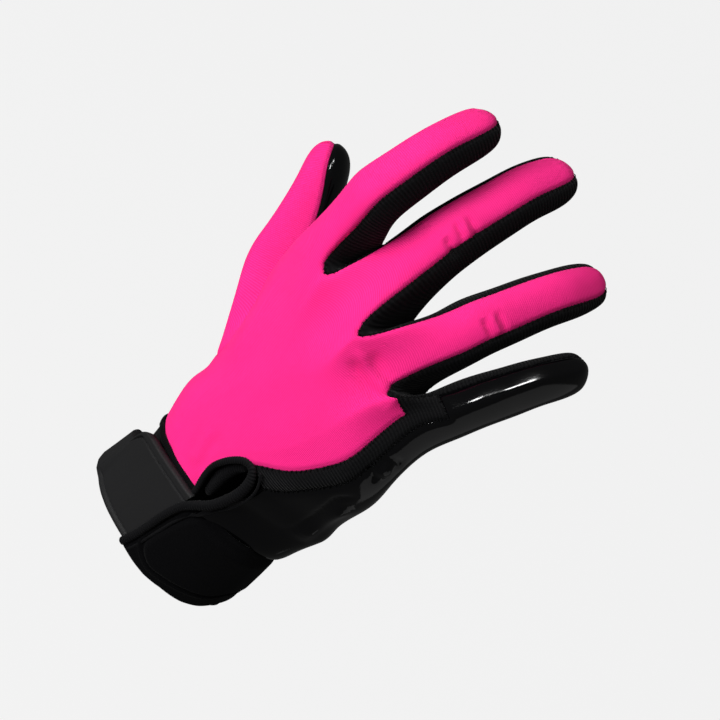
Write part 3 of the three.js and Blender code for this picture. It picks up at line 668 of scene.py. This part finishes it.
def panel_shape(name, wall):
    """A panel of the skin as a closed wall, with a fine outside, a coarser inside and a rim"""
    kind = PANELS.index(name)
    faces = skin.faces[skin.panels == kind]
    coarse = skin.coarser
    coarse_faces = coarse.faces[coarse.panels == kind]
    size = len(skin.points)
    surface = skin.points + skin_normals * relief[:, None]
    used = np.unique(faces)
    index = np.full(size, -1)
    index[used] = np.arange(len(used))
    inside = np.unique(coarse_faces)
    inner = np.full(size, -1)
    inner[inside] = len(used) + np.arange(len(inside))
    vertices = np.vstack([surface[used], surface[inside] - skin_normals[inside] * wall])
    weave = np.vstack([skin.weave[used], skin.weave[inside]])
    polygons = index[faces].tolist() + inner[coarse_faces][:, ::-1].tolist()
    middles = {tuple(edge): k for k, edge in enumerate(coarse.edges.tolist())}
    for a, b in open_sides(coarse_faces, size).tolist():
        m = len(coarse.points) + middles[(min(a, b), max(a, b))]
        polygons.append([index[b], index[m], index[a], inner[a], inner[b]])
    return vertices, polygons, weave


def merged(shapes):
    """Several shapes as one: lists of vertices, faces and thread places"""
    vertices, polygons, weave = [], [], []
    count = 0
    for points, faces, threads in shapes:
        vertices.append(points)
        polygons += [[k + count for k in face] for face in faces]
        weave.append(np.zeros((len(points), 2)) if threads is None else threads)
        count += len(points)
    return np.vstack(vertices), polygons, np.vstack(weave)


def tube_faces(rows, sides):
    """Faces round a tube, row after row, and its two ends"""
    faces = []
    for row in range(rows - 1):
        for k in range(sides):
            n = (k + 1) % sides
            faces.append([row * sides + k, row * sides + n, (row + 1) * sides + n, (row + 1) * sides + k])
    faces.append(list(range(sides))[::-1])
    faces.append(list(range((rows - 1) * sides, rows * sides)))
    return faces


STITCH_PITCH = 1.25
STITCH_LENGTH = 1.3
STITCH_RADIUS = 0.2
STITCH_SLANT = 0.35
NEIGHBOURS = np.array(list(itertools.product((-1, 0, 1), repeat=3)))


def seam_stitches(panel):
    """Short threads sewn over a panel's seams, drawn towards the panel"""
    centres = skin.points[skin.faces].mean(axis=1)
    shapes = []
    grid = {}
    for e, faces, names in seams:
        if panel not in names:
            continue
        a, b = skin.edges[e]
        middle = (skin.points[a] + skin.points[b]) / 2
        cell = np.floor(middle / STITCH_PITCH).astype(int)
        near = [other for step in NEIGHBOURS for other in grid.get(tuple(cell + step), ())]
        if any(np.linalg.norm(other - middle) < STITCH_PITCH * 0.92 for other in near):
            continue
        grid.setdefault(tuple(cell), []).append(middle)
        along = unit(skin.points[b] - skin.points[a])
        normal = skin_normals[a]
        way = centres[faces[names.index(panel)]] - middle
        way = way - normal * np.dot(way, normal)
        way = unit(way - along * np.dot(way, along))
        reach = unit(way + STITCH_SLANT * along) * STITCH_LENGTH / 2
        centre = middle + way * (STITCH_LENGTH * 0.22) - normal * (SEAM_DEPTH * 0.55)
        shapes.append(thread(centre - reach, centre + reach, normal))
    return shapes


THREAD_SIDES = 6
# Share along the thread, share of its radius, and rise
THREAD_ROWS = [(0.0, 0.35, -0.25), (0.15, 0.9, 0.0), (0.5, 1.0, 0.25), (0.85, 0.9, 0.0), (1.0, 0.35, -0.25)]


def thread(start, end, normal):
    """A bowed thread between two places"""
    run = unit(end - start)
    side = unit(np.cross(run, normal))
    up = np.cross(side, run)
    points = []
    for along, size, rise in THREAD_ROWS:
        centre = start + (end - start) * along + normal * (rise * STITCH_RADIUS * 2)
        for k in range(THREAD_SIDES):
            a = math.tau * k / THREAD_SIDES
            points.append(centre + STITCH_RADIUS * size * (side * math.cos(a) + up * math.sin(a)))
    return np.array(points), tube_faces(len(THREAD_ROWS), THREAD_SIDES), None


CORD_STEP = 0.22
CORD_SLANT = 0.6


def cord_shape(line, sides=14, pitch=1.0, ribs=0.13, flat=0.85):
    """A ribbed cord through rows of place, facing direction and radius. flat is its height as a share of its
    width."""
    path, at = spline(line, CORD_STEP)
    centre, facing, radius = path[:, :3], path[:, 3:6], path[:, 6]
    along = np.gradient(centre, axis=0)
    along /= np.linalg.norm(along, axis=1, keepdims=True)
    facing = facing - along * np.sum(facing * along, axis=1, keepdims=True)
    facing /= np.linalg.norm(facing, axis=1, keepdims=True)
    side = np.cross(facing, along)
    ends = smooth_step(np.minimum(at, at[-1] - at) / (radius * 0.8))
    size = radius * np.sqrt(np.clip(ends, 0.02, 1))
    angles = np.arange(sides) * math.tau / sides
    wave_place = at[:, None] / pitch * math.tau + angles[None] * CORD_SLANT
    reach = size[:, None] * (1 + ribs * (np.abs(np.sin(wave_place / 2)) * 2 - 1.2))
    points = (
        centre[:, None] + side[:, None] * (reach * np.cos(angles))[..., None]
        + facing[:, None] * (reach * np.sin(angles) * flat)[..., None]
    )
    return points.reshape(-1, 3), tube_faces(len(at), sides), None


def sheet_shape(outer, inner):
    """A closed sheet between two grids of points"""
    rows, columns = outer.shape[:2]
    count = rows * columns
    at = np.arange(count).reshape(rows, columns)
    front = np.stack([at[:-1, :-1], at[1:, :-1], at[1:, 1:], at[:-1, 1:]], axis=2).reshape(-1, 4)
    border = [*at[:, 0], *at[-1, 1:], *at[-2::-1, -1], *at[0, -2:0:-1]]
    faces = front.tolist() + (front[:, ::-1] + count).tolist()
    for a, b in zip(border, border[1:] + border[:1]):
        faces.append([b, a, a + count, b + count])
    return np.vstack([outer.reshape(-1, 3), inner.reshape(-1, 3)]), faces, None


# Places round the wrist: turn in degrees from the middle of the back towards the little finger, height and
# lift off the wrist
WRAP_GAP = 0.8


def wrist_point(turn, height, lift):
    a = np.radians(turn)
    x, y = np.sin(a), np.cos(a)
    power = 2 / SECTION_POWER
    return np.stack([
        (WRIST_BREADTH / 2 + lift) * np.sign(x) * np.abs(x) ** power,
        -(WRIST_DEPTH / 2 + lift) * np.sign(y) * np.abs(y) ** power,
        height + 0 * turn,
    ], axis=-1)


def wrist_facing(turn):
    a = np.radians(turn)
    return np.stack([np.sin(a), -np.cos(a), 0 * a], axis=-1)


def table_at(table, column, values):
    rows = np.array(table, float)
    return np.interp(values, rows[:, 0], rows[:, column])


def rounded(edge, radius, least):
    """How full a slab is at a distance from its edge"""
    return np.sqrt(np.clip(1 - (1 - np.clip(edge / radius, 0, 1)) ** 2, least, 1))


# Materials
def new_material(name, color, roughness, specular=0.5, sheen=0.0):
    material = bpy.data.materials.new(name)
    material.use_nodes = True
    shader = material.node_tree.nodes["Principled BSDF"]
    shader.inputs["Base Color"].default_value = (*color, 1)
    shader.inputs["Roughness"].default_value = roughness
    shader.inputs["Specular IOR Level"].default_value = specular
    shader.inputs["Sheen Weight"].default_value = sheen
    return material, material.node_tree, shader


def weave_vector(tree):
    node = tree.nodes.new("ShaderNodeAttribute")
    node.attribute_name = "weave"
    return node.outputs["Vector"]


def object_vector(tree):
    return tree.nodes.new("ShaderNodeTexCoord").outputs["Object"]


# The wave texture's bands repeat every 2 pi / 20 units at scale 1.
WAVE_REPEAT = math.tau / 20


def wave(tree, vector, direction, pitch):
    node = tree.nodes.new("ShaderNodeTexWave")
    node.wave_type = "BANDS"
    node.bands_direction = direction
    node.inputs["Scale"].default_value = WAVE_REPEAT / (pitch * MM)
    tree.links.new(vector, node.inputs["Vector"])
    return node.outputs["Color"]


def noise(tree, vector, scale, detail):
    node = tree.nodes.new("ShaderNodeTexNoise")
    node.inputs["Scale"].default_value = scale
    node.inputs["Detail"].default_value = detail
    tree.links.new(vector, node.inputs["Vector"])
    return node.outputs["Fac"]


def ramp(tree, value, stops):
    node = tree.nodes.new("ShaderNodeValToRGB")
    for element, (place, color) in zip(node.color_ramp.elements, stops):
        element.position = place
        element.color = (*color, 1)
    tree.links.new(value, node.inputs["Fac"])
    return node.outputs["Color"]


def weighted(tree, value, share, plus):
    """A value times a share, plus another value"""
    node = tree.nodes.new("ShaderNodeMath")
    node.operation = "MULTIPLY_ADD"
    for socket, part in zip(node.inputs, (value, share, plus)):
        if isinstance(part, (int, float)):
            socket.default_value = part
        else:
            tree.links.new(part, socket)
    return node.outputs["Value"]


def bump_node(tree, shader, height, distance):
    node = tree.nodes.new("ShaderNodeBump")
    node.inputs["Distance"].default_value = distance * MM
    tree.links.new(height, node.inputs["Height"])
    tree.links.new(node.outputs["Normal"], shader.inputs["Normal"])


def knit_material(name, light, dark, pitch, depth, sheen, roughness):
    """Fine ribs across the threads' way, small stitches along each rib, and a soft fuzz. The colour runs
    from dark to light: painted shade in the rib valleys, and a random patchy tone.
    """
    material, tree, shader = new_material(name, light, roughness, 0.06, sheen)
    vector = weave_vector(tree)
    ribs = wave(tree, vector, "Y", pitch)
    stitches = wave(tree, vector, "X", pitch * 1.25)
    patches = noise(tree, object_vector(tree), 60, 4)
    fuzz = noise(tree, object_vector(tree), 3500, 2)
    height = weighted(tree, fuzz, 0.12, weighted(tree, stitches, 0.15, ribs))
    # Painted shade: the base colour darkens where the ribs' bump is low, in the rib valleys; the random
    # patches vary the cloth's tone.
    rib_shade_and_tone = weighted(tree, patches, 0.4, weighted(tree, ribs, 0.6, 0))
    tree.links.new(ramp(tree, rib_shade_and_tone, [(0.05, dark), (0.75, light)]), shader.inputs["Base Color"])
    bump_node(tree, shader, height, depth)
    return material


def grain_material(name, color, roughness, specular, sheen, grain, depth, uneven=None, ribs=None):
    """A fine grain in relief. uneven is a drift of the roughness: scale, detail, share and least value. ribs
    is the pitch of faint rows."""
    material, tree, shader = new_material(name, color, roughness, specular, sheen)
    vector = object_vector(tree)
    height = noise(tree, vector, *grain)
    if uneven:
        drift = noise(tree, vector, *uneven[:2])
        tree.links.new(weighted(tree, drift, *uneven[2:]), shader.inputs["Roughness"])
    if ribs:
        height = weighted(tree, wave(tree, vector, "Z", ribs), 0.5, height)
    bump_node(tree, shader, height, depth)
    return material


# Each knit's second colour is its dark end: painted shade in the rib valleys, and the darker side of a
# random patchy tone.
PINK = (1.0, 0.030, 0.27)
PINK_SHADE = (0.84, 0.013, 0.18)
BLACK = (0.0055, 0.0055, 0.006)
BLACK_SHADE = (0.0015, 0.0015, 0.0018)
COAT = (0.0013, 0.0013, 0.0016)
FOAM = (0.0016, 0.0016, 0.0019)
RUBBER = (0.0145, 0.0145, 0.015)
TAPE = (0.0035, 0.0035, 0.004)

pink_knit = knit_material("pink_knit", PINK, PINK_SHADE, 0.6, 0.085, 0.03, 0.8)
rib_knit = knit_material("rib_knit", BLACK, BLACK_SHADE, 1.15, 0.3, 0.03, 0.85)
cuff_cloth = knit_material("cuff_cloth", BLACK, BLACK_SHADE, 0.7, 0.12, 0.03, 0.9)
grip_coating = grain_material(
    "grip_coating", COAT, 0.1, 0.45, 0.0, (1600, 3), 0.012, uneven=(45, 3, 0.1, 0.03))
neoprene = grain_material("neoprene", FOAM, 0.8, 0.06, 0.02, (2400, 3), 0.06, ribs=0.55)
moulded_rubber = grain_material(
    "moulded_rubber", RUBBER, 0.65, 0.1, 0.0, (1500, 4), 0.04, uneven=(1500, 4, 0.2, 0.42))
edge_tape = grain_material("edge_tape", TAPE, 0.8, 0.12, 0.03, (2200, 3), 0.06)


def add_piece(name, shapes, material, slot, *nodes):
    vertices, faces, weave = merged(shapes)
    obj = new_object(name, vertices, faces)
    set_weave(obj, weave)
    obj.data.materials.append(material)
    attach(obj, "root")
    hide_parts(*nodes)


add_piece("back_cloth", [panel_shape("back_panel", CLOTH_WALL)], pink_knit, "pink_knit",
          "back_panel", "index_back", "middle_back", "ring_back")
add_piece("thumb_back_cloth", [panel_shape("thumb_back", CLOTH_WALL)], pink_knit, "pink_knit",
          "thumb_back")
add_piece("palm_coat", [panel_shape("palm_panel", PALM_WALL)], grip_coating, "grip_coating",
          "palm_panel", "index_palm", "middle_palm", "ring_palm", "little_wrap")
add_piece("thumb_palm_coat", [panel_shape("thumb_palm", PALM_WALL)], grip_coating, "grip_coating",
          "thumb_palm")
for strip in ("edge_gusset", *STRIPS):
    add_piece(strip + "_cloth", [panel_shape(strip, CLOTH_WALL), *seam_stitches(strip)], rib_knit,
              "rib_knit", strip)

# The cuff's band, with a ribbed edging along the cloth's lower edge
EDGING = [
    # turn, height, radius
    (-150, 33.0, 0.7), (-110, 32.6, 0.7), (-75, 32.6, 0.7), (-60, 33.2, 0.85), (-51, 34.2, 1.0),
    (-40, 35.4, 1.15), (-29, 36.4, 1.2), (-15, 37.2, 1.2), (-4, 37.8, 1.2), (5, 38.8, 1.1), (9, 40.2, 0.9),
]
EDGING_LIFT = 0.3
skin_tree = point_tree(skin.points)
edging_line = []
for turn, height, radius in EDGING:
    k = skin_tree.find(Vector(wrist_point(float(turn), height, 0)))[1]
    edging_line.append((*(skin.points[k] + skin_normals[k] * EDGING_LIFT), *skin_normals[k], radius))
add_piece("cuff_cloth_band", [
    panel_shape("cuff_band", CUFF_WALL), cord_shape(edging_line, pitch=0.9, ribs=0.12, flat=0.8),
], cuff_cloth, "cuff_cloth", "cuff_band")

# The strap: height of its two edges by turn, and where its raised face begins
STRAP_EDGES = [
    # turn, low, high, face low
    (-4, -1.0, 36.5, 3.2), (10, -0.9, 37.8, 3.9), (21, -0.4, 38.5, 4.5), (35, 1.2, 38.6, 6.4),
    (54, 2.0, 38.2, 8.8), (70, 3.4, 37.6, 10.5), (85, 5.2, 36.0, 13.0), (110, 5.6, 34.0, 12.0),
    (150, 3.0, 33.0, 8.0), (210, 0.0, 32.0, 4.0),
]
STRAP_START, STRAP_END = -1, 205
STRAP_LEAN = 13.5
STRAP_LIFT = 2.2
STRAP_ROUND = 1.6
STRAP_LENGTH = 90
# Length along the wrap for each degree of turn
DEGREE = 0.42
FACE_START = 6.5
FACE_RISE = 0.8
FACE_CORNER = 7.0
# The upper edge thins out under the palm's hem.
TUCK_DEPTH, TUCK_WIDTH = 1.9, 6
STRAP_TURNS, STRAP_ROWS = ((300, 110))
turns = np.linspace(0, 1, STRAP_TURNS)[:, None]
shares = np.linspace(0, 1, STRAP_ROWS)[None]
turn_grid = (STRAP_START + STRAP_LEAN * shares) * (1 - turns) + STRAP_END * turns
low, high, face_low = (table_at(STRAP_EDGES, column, turn_grid) for column in (1, 2, 3))
height_grid = low + (high - low) * shares
face_left = FACE_START + 0.012 * np.maximum(height_grid - 4, 0) ** 2
from_low = height_grid - face_low
from_left = (turn_grid - face_left) * DEGREE
inside = np.where(
    (from_low < FACE_CORNER) & (from_left < FACE_CORNER),
    FACE_CORNER - np.hypot(FACE_CORNER - from_low, FACE_CORNER - from_left), np.minimum(from_low, from_left))
edge = np.minimum(height_grid - low, high - height_grid)
edge = np.minimum(edge, np.minimum(turns, 1 - turns) * STRAP_LENGTH)
lift = WRAP_GAP + STRAP_LIFT * rounded(edge, STRAP_ROUND, 0.06)
lift += FACE_RISE * smooth_step((inside - 0.3) / 1.6)
lift += 0.35 * bump(inside, -0.9, 0.5) - 0.6 * bump(inside, 0.1, 0.45)
lift -= TUCK_DEPTH * smooth_step((height_grid - high + TUCK_WIDTH) / 5)
lift += 0.12 * np.sin(turn_grid * 0.11) * np.sin(height_grid * 0.21)
outer = wrist_point(turn_grid, height_grid, lift)
inner = wrist_point(turn_grid, height_grid, WRAP_GAP - 0.2)
add_piece("strap_wrap", [sheet_shape(outer, inner)], neoprene, "neoprene", "wrist_strap")


def on_wrist(rows):
    """Rows of turn, height, lift and radius as rows of place, facing and radius"""
    out = []
    for turn, height, off, radius in rows:
        out.append((*wrist_point(float(turn), height, off), *wrist_facing(float(turn)), radius))
    return out


def on_skin(rows, off):
    """Rows of a place on the skin and a radius, lifted off it"""
    out = []
    for x, y, z, radius in rows:
        n = skin_normals[skin_tree.find(Vector((x, y, z)))[1]]
        out.append((*(np.array((x, y, z)) + n * off), *n, radius))
    return out


# The piping binds the strap's edge, runs on round the vent, and comes back under itself to the tab.
STRAP_PIPING = [
    (-1.2, -0.7, 2.4, 1.3), (-0.2, 2.4, 2.8, 1.5), (1.5, 8.5, 3.0, 1.5), (3.2, 16, 3.0, 1.5),
    (5.4, 25, 3.0, 1.5), (9, 33, 3.1, 1.55), (14, 38.2, 3.3, 1.6),
]
VENT_PIPING = [
    (11.2, -18.2, 43.4, 1.8), (13.8, -17.4, 49.4, 1.9), (15.4, -16.7, 56, 1.9), (15.6, -16.3, 61.6, 1.65),
    (13.0, -16.4, 64.6, 1.3), (9.8, -16.7, 64.0, 1.2), (6.9, -17.1, 60.8, 1.2), (4.5, -17.4, 56.2, 1.15),
    (2.9, -17.6, 51, 1.1), (3.3, -17.9, 45.6, 1.1), (4.6, -18.1, 40.6, 1.1), (5.0, -18.2, 37.5, 1.0),
]
# Where the vent's piping leaves the strap it stands further off the skin.
VENT_EXTRA = (1.7, 1.3, 0.8, 0.3)
vent_line = on_skin(VENT_PIPING, 1.0)
for k, extra in enumerate(VENT_EXTRA):
    row = np.array(vent_line[k])
    row[:3] += row[3:6] * extra
    vent_line[k] = tuple(row)
INNER_ROLL = [
    (7.4, -16.4, 40.5, 1.6), (6.6, -15.9, 46.5, 2.3), (6.6, -15.6, 52.5, 2.5), (8.0, -15.4, 57.5, 2.2),
    (10.8, -15.2, 61.8, 1.6),
]
inner_line = [(x, y + 0.4, z, -0.1, -1, 0.0, radius) for x, y, z, radius in INNER_ROLL]
FLANGE = [
    (3.0, 0.5, 2.6, 0.55), (4.6, 3.5, 2.75, 0.55), (8.4, 15.5, 2.75, 0.55), (12, 26.5, 2.7, 0.55),
    (15.5, 33, 2.6, 0.55), (20.5, 37.2, 2.8, 0.55),
]
FLANGE_ON = [
    (14.9, -17.6, 43.4, 0.55), (17.6, -16.8, 49.2, 0.5), (19.1, -16.1, 56, 0.5), (18.8, -15.9, 61.8, 0.5),
    (16.2, -16.0, 66.6, 0.5),
]
flange_line = on_wrist(FLANGE) + on_skin(FLANGE_ON, 0.9)
add_piece("strap_piping", [
    cord_shape(on_wrist(STRAP_PIPING) + vent_line), cord_shape(flange_line, sides=10, ribs=0.06),
], edge_tape, "edge_tape", "strap_binding")
add_piece("vent_piping", [cord_shape(inner_line, ribs=0.12)], edge_tape, "edge_tape", "vent_binding")

# The moulded tab by turn: heights of its edges, how far it stands off, its rails' share, and how much
# further than its middle the lower edge stands off
TAB = [
    # turn, low, high, off, rail, tilt
    (-88, 8.0, 15.4, 1.4, 0, 0.3), (-87.6, 6.6, 16.8, 1.4, 0, 0.3), (-86.4, 5.7, 17.6, 1.5, 0, 0.3),
    (-84, 5.2, 18.2, 1.7, 0, 0.3), (-76, 4.6, 19.6, 2.3, 0, 0.35), (-68, 3.4, 21.6, 2.8, 0, 0.4),
    (-60, 2.0, 23.4, 3.0, 0, 0.35), (-54, 0.8, 25.0, 2.8, 0, 0.2), (-52, 0.5, 26.2, 2.6, 0.1, 0.05),
    (-50, 0.3, 29.4, 2.4, 0.5, -0.15), (-48, 0.2, 33.0, 2.1, 0.9, -0.35), (-46, 0.1, 34.8, 1.9, 1, -0.45),
    (-40, 0.2, 36.0, 1.5, 1, -0.45), (-28, 0.6, 36.8, 0.7, 1, -0.3), (-14, 1.2, 38.0, 0.2, 1, 0.0),
    (-1, 1.8, 38.9, 0, 1, 0.0),
]
TAB_START, TAB_END = -1, -88
TAB_LEAN = 10
TAB_LEAN_HEIGHT = 38
TAB_WALL = 2.3
TAB_ROUND = 0.7
RAIL_RISE = 0.55
RAIL_WIDTHS = (3.6, 2.3)
RAIL_EDGE = 0.9
GROOVE_DEPTH, GROOVE_PLACE, GROOVE_WIDTH = 0.75, 0.35, 0.32
TAB_TURNS, TAB_ROWS = ((220, 130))
tab_turns = np.linspace(TAB_START, TAB_END, TAB_TURNS)[:, None]
shares = np.linspace(0, 1, TAB_ROWS)[None]
low, high, off, rail, tilt = (table_at(TAB, column, tab_turns) for column in range(1, 6))
height_grid = low + (high - low) * shares
turn_grid = tab_turns + TAB_LEAN * height_grid / TAB_LEAN_HEIGHT
upper = high - height_grid
lower = height_grid - low
edge = np.minimum(np.minimum(upper, lower), (tab_turns - TAB_END) * DEGREE)
off = off * (1 + tilt * (1 - 2 * shares))
lift = WRAP_GAP + off + TAB_WALL * rounded(edge, TAB_ROUND, 0.1)
for distance, width in zip((upper, lower), RAIL_WIDTHS):
    lift += RAIL_RISE * rail * smooth_step((width - distance) / RAIL_EDGE)
    lift -= GROOVE_DEPTH * rail * bump(distance, width + GROOVE_PLACE, GROOVE_WIDTH)
outer = wrist_point(turn_grid, height_grid, lift)
inner = wrist_point(turn_grid, height_grid, WRAP_GAP + off)
tab_points, tab_faces, _ = sheet_shape(outer, inner)
add_piece("tab_plate", [(tab_points, [f[::-1] for f in tab_faces], None)], moulded_rubber,
          "moulded_rubber", "pull_tab")


# Floor, light and camera
FLOOR_HALF = 8000
FLOOR_HEIGHT = -550
floor = new_object("floor", [
    (x * FLOOR_HALF, y * FLOOR_HALF, FLOOR_HEIGHT) for x, y in ((-1, -1), (1, -1), (1, 1), (-1, 1))
], [(0, 1, 2, 3)])
floor_material, _, floor_shader = new_material("floor", (0.05, 0.05, 0.05), 0.9, 0.0)
floor_shader.inputs["Emission Color"].default_value = (1, 1, 1, 1)
floor_shader.inputs["Emission Strength"].default_value = 0.865
floor.data.materials.append(floor_material)
floor.visible_glossy = False
floor.visible_diffuse = False

world = bpy.data.worlds.new("studio")
bpy.context.scene.world = world
world.use_nodes = True
background = world.node_tree.nodes["Background"]
background.inputs["Color"].default_value = (1, 1, 1, 1)
path = world.node_tree.nodes.new("ShaderNodeLightPath")
seen = world.node_tree.nodes.new("ShaderNodeMapRange")
seen.inputs["To Min"].default_value = 0.07
seen.inputs["To Max"].default_value = 0.91
world.node_tree.links.new(path.outputs["Is Camera Ray"], seen.inputs["Value"])
world.node_tree.links.new(seen.outputs["Result"], background.inputs["Strength"])

# The photograph's camera: azimuth, elevation and roll in degrees, and where the aim point falls in the frame
AZIMUTH, ELEVATION, ROLL = 24, 36, -44.5
FRAME_SIZE = 720
PIXELS_PER_MM = 3.06
CAMERA_DISTANCE = 1000
AIM = np.array([0, WRIST_SET_BACK, KNUCKLE_HEIGHT], float)
AIM_PIXEL = (354, 350.5)


def camera_axes():
    az, el, roll = (math.radians(v) for v in (AZIMUTH, ELEVATION, ROLL))
    right = np.array([math.cos(az), math.sin(az), 0])
    toward = np.array([math.sin(az) * math.cos(el), -math.cos(az) * math.cos(el), math.sin(el)])
    up = np.cross(toward, right)
    turned_right = right * math.cos(roll) - up * math.sin(roll)
    turned_up = right * math.sin(roll) + up * math.cos(roll)
    return turned_right, turned_up, toward


CAM_RIGHT, CAM_UP, CAM_TOWARD = camera_axes()


def aimed(name, data, right, up, toward, distance):
    """An object that faces the glove's middle from a distance"""
    obj = bpy.data.objects.new(name, data)
    bpy.context.collection.objects.link(obj)
    place = (AIM + toward * distance) * MM
    matrix = Matrix.Identity(4)
    for row in range(3):
        matrix[row] = (right[row], up[row], toward[row], place[row])
    obj.matrix_world = matrix
    return obj


lens = bpy.data.cameras.new("camera")
lens.sensor_width = 36
lens.lens = PIXELS_PER_MM * CAMERA_DISTANCE / FRAME_SIZE * lens.sensor_width
lens.clip_end = 50
lens.shift_x = (FRAME_SIZE / 2 - AIM_PIXEL[0]) / FRAME_SIZE
lens.shift_y = (AIM_PIXEL[1] - FRAME_SIZE / 2) / FRAME_SIZE
bpy.context.scene.camera = aimed("camera", lens, CAM_RIGHT, CAM_UP, CAM_TOWARD, CAMERA_DISTANCE)


def in_view(direction):
    return CAM_RIGHT * direction[0] + CAM_UP * direction[1] + CAM_TOWARD * direction[2]


def area_light(name, direction, distance, size, power, length=None, along=(1, 0, 0)):
    """A light that shines on the glove's middle from a direction given in the camera's own axes. A length
    makes it a strip lying along another such direction."""
    way = unit(in_view(direction))
    side = in_view(along)
    side = unit(side - way * np.dot(side, way))
    data = bpy.data.lights.new(name, "AREA")
    data.shape = "RECTANGLE"
    data.size = length or size
    data.size_y = size
    data.energy = power
    return aimed(name, data, side, np.cross(way, side), way, distance)


# Broad soft lights give the cloth its even colour; narrow strips give the coating its shine.
for soft in (
    area_light("key", (-0.75, 0.55, 0.9), 1300, 1.0, 24.5),
    area_light("front", (0.13, 0.76, 0.62), 1300, 0.6, 3),
    area_light("fill", (0.9, -0.1, 1.0), 1400, 1.2, 3),
):
    soft.visible_glossy = False
for strip in (
    area_light("streak", (0.13, 0.76, 0.62), 1300, 0.13, 17, 0.9, (0.97, 0.26, 0)),
    area_light("low", (0.5, -0.9, -0.05), 1200, 1.0, 0.9, 1.2, (0.7, 0.4, 0)),
):
    strip.visible_diffuse = False

bpy.context.scene.view_settings.view_transform = "Standard"
bpy.context.scene.view_settings.look = "None"
